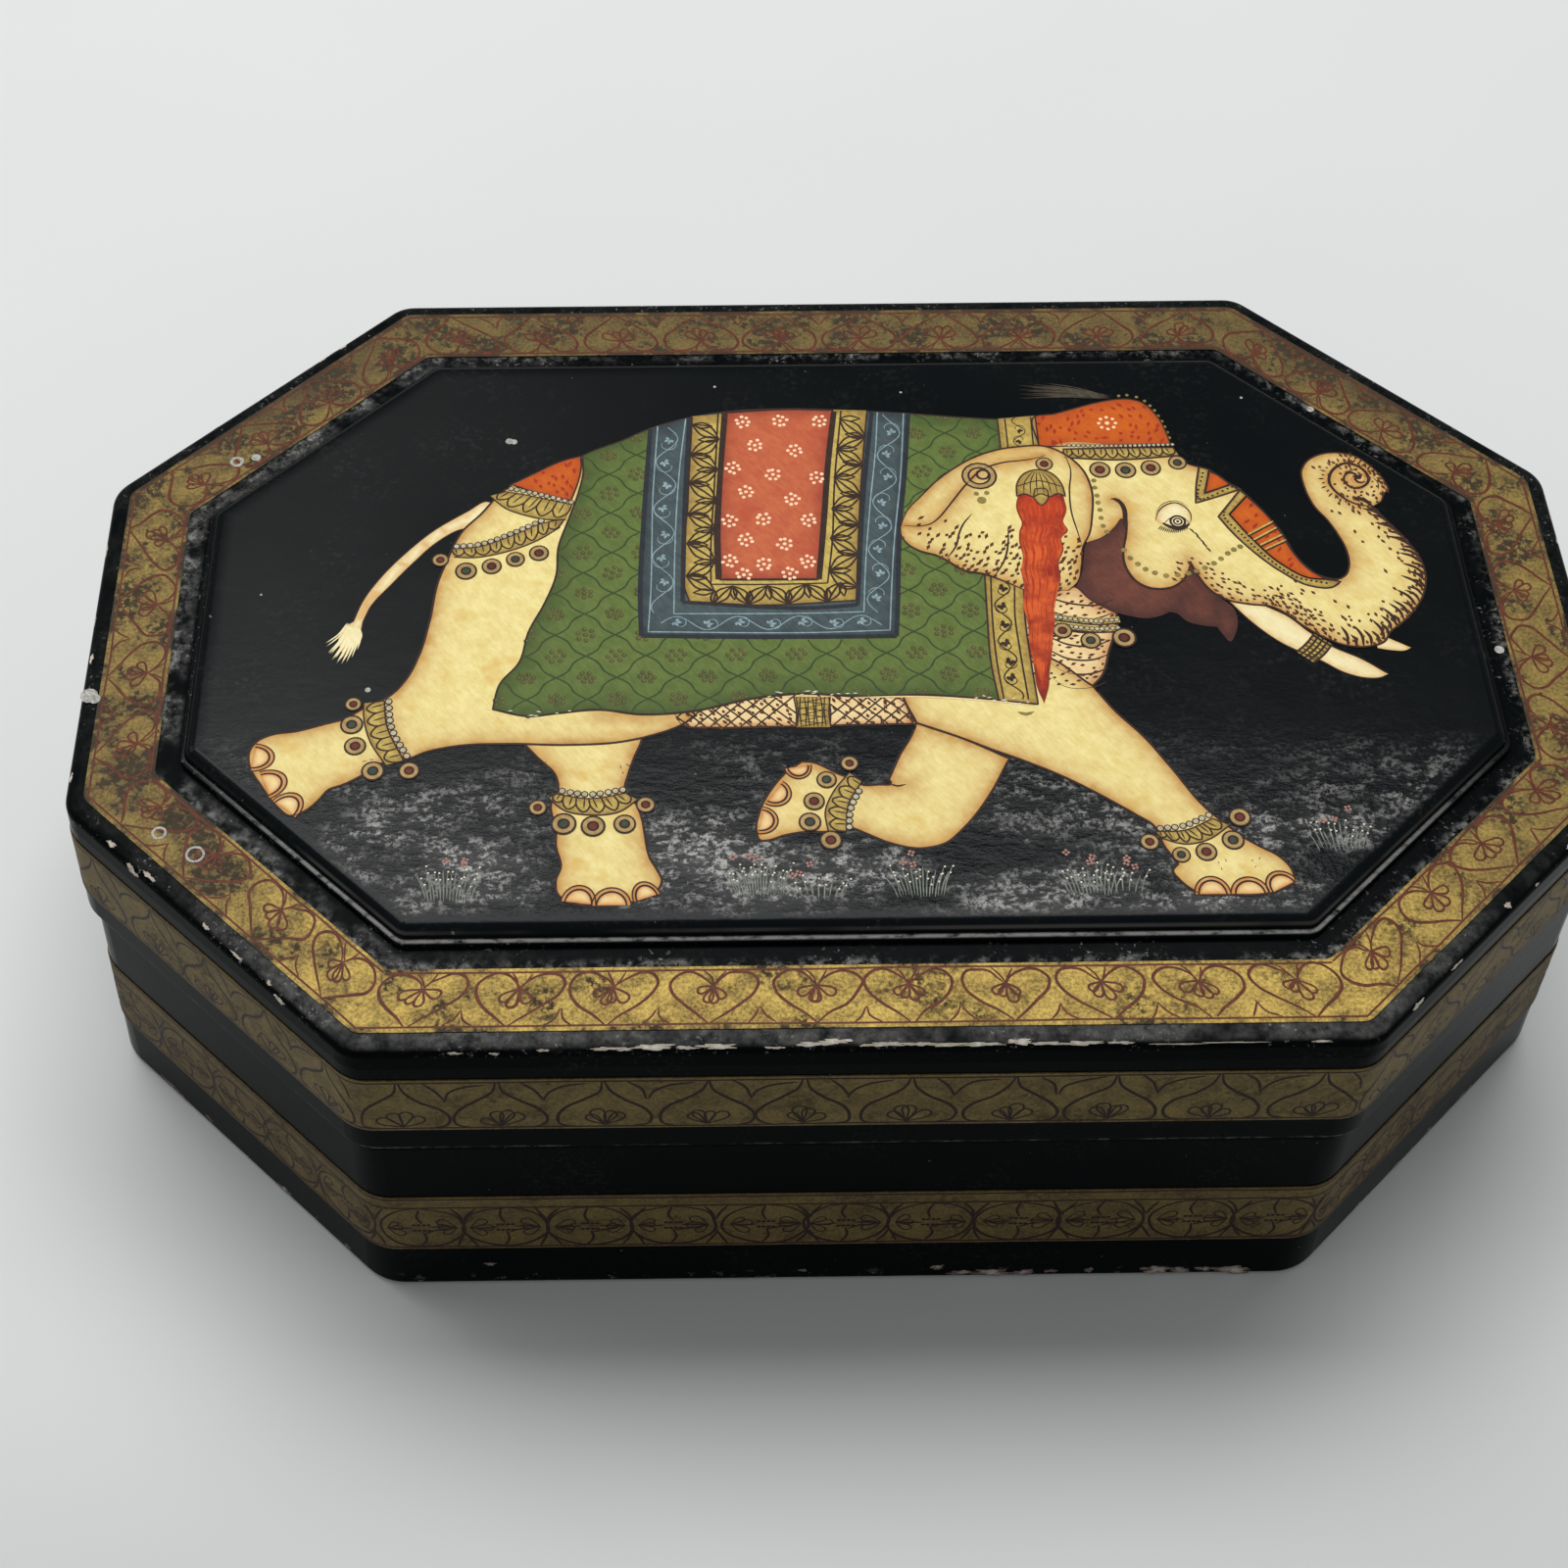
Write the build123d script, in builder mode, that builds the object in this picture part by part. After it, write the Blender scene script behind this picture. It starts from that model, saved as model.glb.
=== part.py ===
"""Eight-sided lacquered papier-mache box with a lift-off lid.

The box is built as its maker builds it: a wall ring, a floor and an inner collar make
the base; a wall ring, a top board and a raised picture panel make the lid. The three
gilded bands are thin layers laid on the finished walls and on the lid's border.
Millimetres, +Z up, origin at the middle of the underside.
"""

from build123d import *

import os
from math import radians, tan

# Plan of the foot, measured across the flat sides
foot_length = 156.5
foot_width = 100.3
corner_cut_length = 30.4
corner_cut_width = 28.7
corner_radius = 6.0
inner_corner_radius = 1.5

# Heights
base_height = 28.7
lid_height = 17.2
panel_height = 2.0

# Walls and boards
wall_lean = 3.9
lip_wall = 2.6
floor_board = 3.0
top_board = 3.0
lid_overhang = 0.8
foot_rounding = 0.8
base_lip_rounding = 1.4
lid_lip_rounding = 0.4
rim_rounding = 1.3

# Inner collar that guides the lid
collar_wall = 1.6
collar_rise = 7.0
collar_rounding = 0.5
collar_clearance = 0.3
seat_gap = 0.2

# Raised picture panel on the lid
panel_margin = 10.8
panel_corner_radius = 1.6
panel_shoulder = 1.3
panel_bead_height = 0.8
panel_bead_step = 0.5
panel_bead_rounding = 0.4

# Gilded bands
gilding = 0.12
border_margin = 1.9
border_width = 6.6
lid_band_drop = 4.8
lid_band_height = 8.6
base_band_foot = 8.0
base_band_height = 10.4

# Levels and insets that follow from the sizes above
lean_slope = tan(radians(wall_lean))
collar_top = base_height + collar_rise
lid_foot = base_height + seat_gap
rim_level = lid_foot + lid_height
top_board_level = rim_level - top_board
base_lip_inset = base_height * lean_slope
base_inner_inset = base_lip_inset + lip_wall
collar_inner_inset = base_inner_inset + collar_wall
lid_inner_inset = base_inner_inset - collar_clearance
lid_foot_inset = base_lip_inset - lid_overhang
board_foot_inset = lid_foot_inset + (top_board_level - lid_foot) * lean_slope
rim_inset = lid_foot_inset + lid_height * lean_slope
lid_band_foot = rim_level - lid_band_drop - lid_band_height


def octagon_corners(inset):
    """Corners of the eight-sided plan with every side moved inwards by inset."""
    half_length = foot_length / 2
    half_width = foot_width / 2
    # A long side keeps its line, a slanted side keeps its own distance from the middle:
    # the corner between them slides along both by the amounts worked out here.
    slant = (corner_cut_length**2 + corner_cut_width**2) ** 0.5
    along_length = (slant - corner_cut_length) / corner_cut_width * inset
    along_width = (slant - corner_cut_width) / corner_cut_length * inset
    x_flat = half_length - corner_cut_length - along_length
    y_flat = half_width - corner_cut_width - along_width
    x_side = half_length - inset
    y_side = half_width - inset
    return [
        (x_flat, -y_side),
        (x_side, -y_flat),
        (x_side, y_flat),
        (x_flat, y_side),
        (-x_flat, y_side),
        (-x_side, y_flat),
        (-x_side, -y_flat),
        (-x_flat, -y_side),
    ]


def octagon(inset, radius=None):
    """The plan as a sketch, moved inwards by inset, with its eight corners rounded."""
    if radius is None:
        radius = max(corner_radius - inset, inner_corner_radius)
    with BuildSketch(mode=Mode.PRIVATE) as plan:
        with BuildLine():
            Polyline(*octagon_corners(inset), close=True)
        make_face()
        fillet(plan.vertices(), radius)
    return plan.sketch


def edges_at(part, level, slack=0.01):
    """All edges of the part that lie flat at one level, give or take a hair's slack."""
    return part.edges().filter_by_position(Axis.Z, level - slack, level + slack)


# Base wall: leans in towards the lip outside, stands plumb inside
with BuildPart() as base_wall:
    with BuildSketch():
        add(octagon(0))
    extrude(amount=base_height, taper=wall_lean)
    fillet(edges_at(base_wall, 0), foot_rounding)
    fillet(edges_at(base_wall, base_height), base_lip_rounding)
    with BuildSketch():
        add(octagon(base_inner_inset))
    extrude(amount=base_height, mode=Mode.SUBTRACT)
base_wall.part.label = "base_wall"

# Floor: a board let into the foot of the wall, flush with it below
with BuildPart() as base_floor:
    with BuildSketch():
        add(octagon(base_inner_inset))
    extrude(amount=floor_board)
base_floor.part.label = "base_floor"

# Collar: a strip glued inside the base wall, standing proud to guide the lid
with BuildPart() as base_collar:
    with BuildSketch(Plane.XY.offset(floor_board)):
        add(octagon(base_inner_inset))
        add(octagon(collar_inner_inset), mode=Mode.SUBTRACT)
    extrude(amount=collar_top - floor_board)
    fillet(edges_at(base_collar, collar_top), collar_rounding)
base_collar.part.label = "base_collar"

# Lid wall: overhangs the base a little and slides over the collar
with BuildPart() as lid_wall:
    with BuildSketch(Plane.XY.offset(lid_foot)):
        add(octagon(lid_foot_inset))
    extrude(amount=top_board_level - lid_foot, taper=wall_lean)
    fillet(edges_at(lid_wall, lid_foot), lid_lip_rounding)
    with BuildSketch(Plane.XY.offset(lid_foot)):
        add(octagon(lid_inner_inset))
    extrude(amount=top_board_level - lid_foot, mode=Mode.SUBTRACT)
lid_wall.part.label = "lid_wall"

# Top board: closes the lid and carries its rounded rim
with BuildPart() as lid_top:
    with BuildSketch(Plane.XY.offset(top_board_level)):
        add(octagon(board_foot_inset))
    extrude(amount=top_board, taper=wall_lean)
    fillet(edges_at(lid_top, rim_level), rim_rounding)
lid_top.part.label = "lid_top"

# Picture panel: raised on the top board, with a small bead round its foot and a
# rounded shoulder up to the flat that carries the picture
panel_inset = rim_inset + panel_margin
with BuildPart() as panel_bead:
    with BuildSketch(Plane.XY.offset(rim_level)):
        add(octagon(panel_inset, panel_corner_radius + panel_bead_step))
    extrude(amount=panel_bead_height)
    fillet(edges_at(panel_bead, rim_level + panel_bead_height), panel_bead_rounding)
with BuildPart() as lid_panel:
    with BuildSketch(Plane.XY.offset(rim_level)):
        add(octagon(panel_inset + panel_bead_step, panel_corner_radius))
    extrude(amount=panel_height)
    fillet(edges_at(lid_panel, rim_level + panel_height), panel_shoulder)
    add(panel_bead.part)
lid_panel.part.label = "lid_panel"

# Gilded border on the flat margin between rim and panel
border_inset = rim_inset + border_margin
with BuildPart() as gilt_border_top:
    with BuildSketch(Plane.XY.offset(rim_level)):
        add(octagon(border_inset))
        add(octagon(border_inset + border_width), mode=Mode.SUBTRACT)
    extrude(amount=gilding)
gilt_border_top.part.label = "gilt_border_top"


def gilded_band(foot, height, wall_foot, wall_foot_inset):
    """A thin layer on a leaning wall, between two levels."""
    inset = wall_foot_inset + (foot - wall_foot) * lean_slope
    with BuildPart(mode=Mode.PRIVATE) as band:
        with BuildSketch(Plane.XY.offset(foot)):
            add(octagon(inset - gilding))
        extrude(amount=height, taper=wall_lean)
        with BuildSketch(Plane.XY.offset(foot)):
            add(octagon(inset))
        extrude(amount=height, taper=wall_lean, mode=Mode.SUBTRACT)
    return band.part


gilt_band_lid = gilded_band(lid_band_foot, lid_band_height, lid_foot, lid_foot_inset)
gilt_band_lid.label = "gilt_band_lid"
gilt_band_base = gilded_band(base_band_foot, base_band_height, 0, 0)
gilt_band_base.label = "gilt_band_base"

os.makedirs("parts", exist_ok=True)
pieces = [
    base_wall.part,
    base_floor.part,
    base_collar.part,
    lid_wall.part,
    lid_top.part,
    lid_panel.part,
    gilt_border_top.part,
    gilt_band_lid,
    gilt_band_base,
]
for piece in pieces:
    export_step(piece, f"parts/{piece.label}.step")
    size = piece.bounding_box().size
    print(piece.label, round(piece.volume, 1), round(size.X, 2), round(size.Y, 2), round(size.Z, 2))
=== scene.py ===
# %% [markdown]
# # A lacquered box with an elephant on its lid
#
# The object is an eight-sided papier-mache box in black lacquer. A raised panel on its
# lid carries a painted elephant in its trappings, and three gilded bands with dark red
# line work run round it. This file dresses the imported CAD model: the shells, the panel
# and the gilded layers come from CAD and get their finishes here, and everything that a
# painter's brush laid on them is made here, as thin paint with a real thickness.

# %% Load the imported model
import math

import bpy
import numpy as np
from mathutils import Matrix, Vector
from mathutils.geometry import delaunay_2d_cdt


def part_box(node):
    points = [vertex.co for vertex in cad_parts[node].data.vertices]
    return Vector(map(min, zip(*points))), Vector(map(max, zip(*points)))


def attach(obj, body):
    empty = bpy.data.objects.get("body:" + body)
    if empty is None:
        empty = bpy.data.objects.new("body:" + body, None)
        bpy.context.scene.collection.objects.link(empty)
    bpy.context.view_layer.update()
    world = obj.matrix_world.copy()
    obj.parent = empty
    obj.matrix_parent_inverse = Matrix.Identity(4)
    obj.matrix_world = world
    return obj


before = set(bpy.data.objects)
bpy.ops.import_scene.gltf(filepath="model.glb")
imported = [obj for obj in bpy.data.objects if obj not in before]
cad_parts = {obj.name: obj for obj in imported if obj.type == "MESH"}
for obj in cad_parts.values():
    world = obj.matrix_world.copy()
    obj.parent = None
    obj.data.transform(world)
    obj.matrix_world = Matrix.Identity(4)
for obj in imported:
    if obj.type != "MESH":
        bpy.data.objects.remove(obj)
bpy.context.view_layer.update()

# %% [markdown]
# ## Sizes that follow from the frame
#
# A painter measures on the thing itself. So the levels below are read from the packed
# nodes: the height of the picture and the edges of each gilded band. The lean of the
# walls is given as a number. All drawing is done in millimetres and turned into metres when a mesh is made.

# %% Measure the box
MM = 0.001


def low(node, axis):
    """Lowest coordinate of a CAD node along an axis, in mm."""
    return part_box(node)[0][axis] / MM


def high(node, axis):
    """Highest coordinate of a CAD node along an axis, in mm."""
    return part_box(node)[1][axis] / MM


X, Y, Z = 0, 1, 2
picture_level = high("lid_panel", Z)
rim_level = high("lid_top", Z)
lid_foot = low("lid_wall", Z)
wall_lean_degrees = 3.9
wall_lean = math.tan(math.radians(wall_lean_degrees))
lost_to_foot_rounding = 0.055
half_length = high("base_wall", X) + lost_to_foot_rounding
half_width = high("base_wall", Y) + lost_to_foot_rounding
corner_cut_length, corner_cut_width = 30.4, 28.7
corner_radius = 6.0
gilding = high("gilt_border_top", Z) - rim_level
border_outer = half_width - high("gilt_border_top", Y)
border_width = 6.6
border_inner = border_outer + border_width
panel_inset = half_width - high("lid_panel", Y)
rim_foot, rim_foot_inset = low("lid_top", Z), half_width - high("lid_top", Y)
print("picture level", round(picture_level, 2), "rim", round(rim_level, 2), "gilding", round(gilding, 3))
print("border from inset", round(border_outer, 2), "to", round(border_inner, 2))

# %% [markdown]
# ## The plan of the box as a path
#
# Every band of ornament runs round the same eight-sided plan with rounded corners. One
# function walks along it and gives a point and the direction that faces outwards. A
# point on a leaning wall is that point moved inwards by the wall's inset at its height.
# On the flat border the corners are mitred instead, as a painter rules them.

# %% Sides of the plan
slant = math.hypot(corner_cut_length, corner_cut_width)
slant_slide_x = (slant - corner_cut_length) / corner_cut_width
slant_slide_y = (slant - corner_cut_width) / corner_cut_length


def plan_corners(inset):
    """The eight corners with every side moved inwards by inset. A corner slides along both its sides."""
    x_flat = half_length - corner_cut_length - slant_slide_x * inset
    y_flat = half_width - corner_cut_width - slant_slide_y * inset
    x_side, y_side = half_length - inset, half_width - inset
    quarter = [(x_flat, -y_side), (x_side, -y_flat), (x_side, y_flat), (x_flat, y_side)]
    return np.array(quarter + [(-x, -y) for x, y in quarter])


def plan_side(k, inset):
    """Start, end and outward direction of side k. Side 0 is the right front slant, side 7 the front."""
    corners = plan_corners(inset)
    start, end = corners[k % 8], corners[(k + 1) % 8]
    along = (end - start) / np.linalg.norm(end - start)
    return start, end, np.array([along[1], -along[0]])


def side_length(k, inset):
    """Length of side k between its two corners."""
    start, end, _ = plan_side(k, inset)
    return float(np.linalg.norm(end - start))


print("side lengths at the foot:", [round(side_length(k, 0), 1) for k in range(8)])

# %% [markdown]
# ## Surfaces to paint on
#
# A surface here is a function that takes flat drawing coordinates and a height over the
# surface, and gives points in space. The picture is painted on a level plane, the top
# border on one side of the margin at a time, and the bands on the leaning walls, where
# the drawing bends round the rounded corners.

# %% Painting surfaces
def on_picture(u, v, lift):
    """The level panel: u runs to the right, v to the back, lift straight up."""
    return np.stack([u, v, np.full_like(u, picture_level) + lift], axis=-1)


def on_border(k):
    """Side k of the top border: u along it from its middle, v inwards from its outer edge, ends mitred."""
    start, end, out = plan_side(k, border_outer)
    middle, along = (start + end) / 2, (end - start) / np.linalg.norm(end - start)
    outer_length = side_length(k, border_outer)
    narrowing = (outer_length - side_length(k, border_inner)) / border_width
    mean_length = outer_length - narrowing * border_width / 2

    def place(u, v, lift):
        """A point of this side, with u drawn in as the side narrows inwards."""
        u = u * (outer_length - narrowing * v) / mean_length
        plan = middle + u[..., None] * along - v[..., None] * out
        height = np.full_like(u, rim_level + gilding) + lift
        return np.concatenate([plan, height[..., None]], axis=-1)

    return place, mean_length


def on_wall(k, foot_inset, foot_level):
    """Side k of a leaning wall: u along it from its middle, v is the height, lift straight out.

    Past the straight part the drawing follows the corner's arc, up to the arc's middle.
    Every inset shares the arc's centre, so a point is the foot's point moved along its normal.
    """
    start, end, out = plan_side(k, 0)
    along = (end - start) / np.linalg.norm(end - start)
    _, _, before = plan_side(k - 1, 0)
    _, _, after = plan_side(k + 1, 0)
    turns = [math.acos(float(np.dot(before, out))), math.acos(float(np.dot(out, after)))]
    cuts = [corner_radius * math.tan(turn / 2) for turn in turns]
    straight_from, straight_to = start + along * cuts[0], end - along * cuts[1]
    straight = float(np.linalg.norm(straight_to - straight_from))
    reach = [straight / 2 + corner_radius * turn / 2 for turn in turns]

    def place(u, v, lift):
        """A point of this wall, moved in as the wall leans and out by the lift."""
        straight_u = np.clip(u, -straight / 2, straight / 2)
        angle = (u - straight_u) / corner_radius
        normal = np.cos(angle)[..., None] * out + np.sin(angle)[..., None] * along
        centre = (straight_from + straight_to) / 2 + straight_u[..., None] * along - corner_radius * out
        inset = foot_inset + (v - foot_level) * wall_lean - lift
        plan = centre + (corner_radius - inset)[..., None] * normal
        return np.concatenate([plan, v[..., None] + np.zeros_like(plan[..., :1])], axis=-1)

    return place, reach


print("front side of the border is", round(on_border(7)[1], 1), "mm long in its middle")

# %% [markdown]
# ## A brush stroke
#
# The painter pulls each line through a few places chosen by eye and lifts the brush at
# its ends. So a stroke is given by a few points, a smooth curve is laid through them,
# and the line swells in its middle and thins out at both ends.

# %% Curves through given points
def flow(points, step=0.4):
    """A smooth curve through points, at even steps.

    Each span is a cubic Hermite curve. The tangent at a point is the mean of the two
    chords' directions, each weighted by the other chord's length.
    """
    p = np.array(points, float)
    chord = np.linalg.norm(np.diff(p, axis=0), axis=1)
    way = np.diff(p, axis=0) / chord[:, None]
    mean = way[:-1] * chord[1:, None] + way[1:] * chord[:-1, None]
    tangent = np.vstack([way[:1], mean / (chord[1:] + chord[:-1])[:, None], way[-1:]])
    place = np.concatenate([[0], np.cumsum(chord)])
    s = np.linspace(0, place[-1], max(3, round(place[-1] / step) + 1))
    i = np.clip(np.searchsorted(place, s, side="right") - 1, 0, len(chord) - 1)
    t, d = ((s - place[i]) / chord[i])[:, None], chord[i][:, None]
    return (
        (2 * t**3 - 3 * t**2 + 1) * p[i]
        + (t**3 - 2 * t**2 + t) * d * tangent[i]
        + (3 * t**2 - 2 * t**3) * p[i + 1]
        + (t**3 - t**2) * d * tangent[i + 1]
    )


def outline(*strokes, step=0.4):
    """Several smooth strokes joined end to end, with a corner at each joint, as one closed outline.

    Each stroke goes on from the last point of the one before, and needn't name that point.
    """
    parts, corner = [], strokes[0][0]
    for stroke in strokes:
        parts.append(flow(stroke if stroke[0] == corner else [corner, *stroke], step))
        corner = stroke[-1]
    whole = np.vstack(parts)
    apart = np.linalg.norm(whole - np.roll(whole, 1, axis=0), axis=1) > step * 0.3
    return whole[apart]


def walk(path):
    """At each point of a path: the way on, the way to the left, and the length walked so far."""
    way = np.gradient(path, axis=0)
    way = way / np.maximum(np.linalg.norm(way, axis=1), 1e-9)[:, None]
    chords = np.linalg.norm(np.diff(path, axis=0), axis=1)
    return way, np.column_stack([-way[:, 1], way[:, 0]]), np.concatenate([[0], np.cumsum(chords)])


def between(a, b, n):
    """Values from a to b, n of them, ends included."""
    return np.linspace(a, b, n)


print("a stroke of three points becomes", len(flow([(0, 0), (5, 2), (9, 0)])), "points")

# %% [markdown]
# ## A paint
#
# One paint is one pot of colour: everything brushed from it is one mesh. A flat area is
# filled with small triangles, and each point remembers how near it lies to an edge, so
# that a wash can darken towards the outline as the painter's does. A line is a strip
# with a raised middle, a dot is a low drop, and a ring is a drop with an open middle.

# %% Areas, lines, dots and rings of one paint
def distance_to(points, paths):
    """Distance from each point to the nearest span of any path: drop a perpendicular, clipped to the span."""
    nearest = np.full(len(points), 1e9)
    for path in paths:
        start, span = path[:-1], np.diff(path, axis=0)
        to = points[:, None, :] - start[None]
        t = np.clip((to * span).sum(-1) / np.maximum((span * span).sum(-1), 1e-12), 0, 1)
        nearest = np.minimum(nearest, np.linalg.norm(to - t[..., None] * span, axis=-1).min(axis=1))
    return nearest


def inside(points, loop):
    """True where a point is inside a closed loop: a ray to the right crosses it an odd number of times."""
    a, b = loop, np.roll(loop, -1, axis=0)
    x, y = points[:, :1], points[:, 1:]
    crosses = (a[:, 1] > y) != (b[:, 1] > y)
    rise = np.where(b[:, 1] == a[:, 1], 1e-9, b[:, 1] - a[:, 1])
    return (crosses & (x < a[:, 0] + (y - a[:, 1]) * (b[:, 0] - a[:, 0]) / rise)).sum(axis=1) % 2 == 1


class Paint:
    """Everything brushed with one paint, joined in one mesh that rides on a body."""

    def __init__(self, name, body="lid", slot="picture_lacquer"):
        self.name, self.body, self.slot = name, body, slot
        self.points, self.triangles, self.shade, self.count = [], [], [], 0

    def add(self, points, triangles, shade):
        """Points in mm of any grid shape, triangles as index rows, and one shade for each point."""
        points = points.reshape(-1, 3)
        self.points.append(points)
        self.triangles.append(np.asarray(triangles) + self.count)
        self.shade.append(np.broadcast_to(np.ravel(shade), len(points)))
        self.count += len(points)

    def grid(self, points, shade=0.0, closed=False):
        """Rows by columns of points as a skin. Closed joins each row's last point to its first."""
        rows, columns = points.shape[:2]
        index = np.arange(rows * columns).reshape(rows, columns)
        if closed:
            index = np.hstack([index, index[:, :1]])
        a, b, c, d = index[:-1, :-1], index[:-1, 1:], index[1:, 1:], index[1:, :-1]
        faces = np.concatenate(
            [np.stack([a, b, c], -1).reshape(-1, 3), np.stack([a, c, d], -1).reshape(-1, 3)])
        self.add(points, faces, shade)

    def area(self, loop, lift, surface=on_picture, mesh=0.9, reach=1.0, folds=(), body_of_paint=0.02):
        """A filled outline. Its shade is 1 at the edge and at the folds, and falls off over reach."""
        low_corner, high_corner = loop.min(axis=0), loop.max(axis=0)
        counts = np.maximum(((high_corner - low_corner) / mesh).astype(int), 1)
        gx, gy = np.meshgrid(between(low_corner[0], high_corner[0], counts[0] + 2),
                             between(low_corner[1], high_corner[1], counts[1] + 2))
        gx = gx + np.where(np.arange(gx.shape[0]) % 2, mesh / 4, -mesh / 4)[:, None]
        fill = np.column_stack([gx.ravel(), gy.ravel()])
        fill = fill[inside(fill, loop)]
        rim = [np.vstack([loop, loop[:1]])]
        fill = fill[distance_to(fill, rim) > mesh * 0.45] if len(fill) else fill
        n = len(loop)
        flat = np.vstack([loop, fill])
        edges = [(i, (i + 1) % n) for i in range(n)]
        cut = delaunay_2d_cdt([Vector(p) for p in flat.tolist()], edges, [], 1, 1e-5)
        flat = np.array([tuple(p) for p in cut[0]])
        faces = np.array(cut[2])
        a, b, c = flat[faces[:, 0]], flat[faces[:, 1]], flat[faces[:, 2]]
        turned = (b - a)[:, 0] * (c - a)[:, 1] - (b - a)[:, 1] * (c - a)[:, 0] < 0
        faces[turned] = faces[turned][:, ::-1]
        shade = np.exp(-distance_to(flat, rim + [np.asarray(f) for f in folds]) / reach)
        self.add(surface(flat[:, 0], flat[:, 1], lift), faces, shade)
        turn = np.cross(loop, np.roll(loop, -1, axis=0)).sum()
        ring = loop if turn > 0 else loop[::-1]
        skirt = np.stack(
            [surface(ring[:, 0], ring[:, 1], lift - body_of_paint), surface(ring[:, 0], ring[:, 1], lift)])
        self.grid(skirt, 1.0, closed=True)

    def line(self, stroke, width=0.18, lift=0.06, surface=on_picture, taper=0.7, body_of_paint=0.006):
        """A strip along a stroke, raised along its middle and thinner by the share taper at its ends."""
        stroke = np.asarray(stroke, float)
        _, aside, _ = walk(stroke)
        swell = 1 - taper * np.abs(between(-1, 1, len(stroke))) ** 3
        half = (width / 2 * swell)[:, None]
        left, right = stroke + aside * half, stroke - aside * half
        rows = [surface(p[:, 0], p[:, 1], lift + rise)
                for p, rise in ((left, 0.0), (stroke, body_of_paint), (right, 0.0))]
        self.grid(np.stack(rows[::-1]), 0.0)

    def dots(self, centres, radius, lift=0.07, surface=on_picture, sides=8, height=0.03, shade=0.0):
        """Low round drops: a ring of points at the foot and one raised point in the middle."""
        centres = np.asarray(centres, float).reshape(-1, 2)
        radius = np.broadcast_to(np.asarray(radius, float), len(centres))
        angle = np.arange(sides) * 2 * math.pi / sides
        fan = centres[:, None, :] + radius[:, None, None] * np.stack([np.cos(angle), np.sin(angle)], -1)
        flat = np.concatenate([fan, centres[:, None, :]], axis=1)
        rise = np.zeros(flat.shape[:2])
        rise[:, -1] = height
        step = np.arange(sides)
        faces = np.stack([step, (step + 1) % sides, np.full(sides, sides)], -1)
        faces = (faces[None] + (np.arange(len(centres)) * (sides + 1))[:, None, None]).reshape(-1, 3)
        self.add(surface(flat[..., 0], flat[..., 1], lift + rise), faces, shade)

    def rings(self, centres, outer, inner, lift=0.08, surface=on_picture, sides=16, height=0.03):
        """Flat rings with a raised middle line, one for each centre."""
        angle = np.arange(sides) * 2 * math.pi / sides
        outer, inner = (np.broadcast_to(radius, len(centres)) for radius in (outer, inner))
        for (x, y), r_out, r_in in zip(centres, outer, inner):
            rows = []
            for r, rise in ((r_out, 0.0), ((r_out + r_in) / 2, height), (r_in, 0.0)):
                rows.append(surface(x + r * np.cos(angle), y + r * np.sin(angle), lift + rise))
            self.grid(np.stack(rows), 0.0, closed=True)

    def make(self, material):
        """One mesh object at the origin, with the shade as a point attribute."""
        points = (np.concatenate(self.points) * MM).astype(np.float32)
        triangles = np.concatenate(self.triangles).astype(np.int32)
        mesh = bpy.data.meshes.new(self.name)
        mesh.vertices.add(len(points))
        mesh.vertices.foreach_set("co", points.ravel())
        mesh.loops.add(triangles.size)
        mesh.loops.foreach_set("vertex_index", triangles.ravel())
        mesh.polygons.add(len(triangles))
        mesh.polygons.foreach_set("loop_start", np.arange(0, triangles.size, 3, dtype=np.int32))
        mesh.update(calc_edges=True)
        mesh.polygons.foreach_set("use_smooth", np.ones(len(triangles), bool))
        shade = mesh.attributes.new("shade", "FLOAT", "POINT")
        shade.data.foreach_set("value", np.concatenate(self.shade).astype(np.float32))
        piece = bpy.data.objects.new(self.name, mesh)
        bpy.context.scene.collection.objects.link(piece)
        mesh.materials.append(material)
        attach(piece, self.body)
        print(self.name, "has", len(triangles), "triangles")
        return piece


print("paints can hold areas, lines, dots and rings")

# %% [markdown]
# ## The pots of paint
#
# These are the paints of the picture. Each one becomes one mesh at the end, when its
# finish is mixed. Thin layers lie over each other in the order in which the painter
# laid them: body colour first, then cloths, then trappings, then ink and highlights.
# A pot is named with its light tone, its dark tone and, where it pools, its edge tone.

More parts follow.
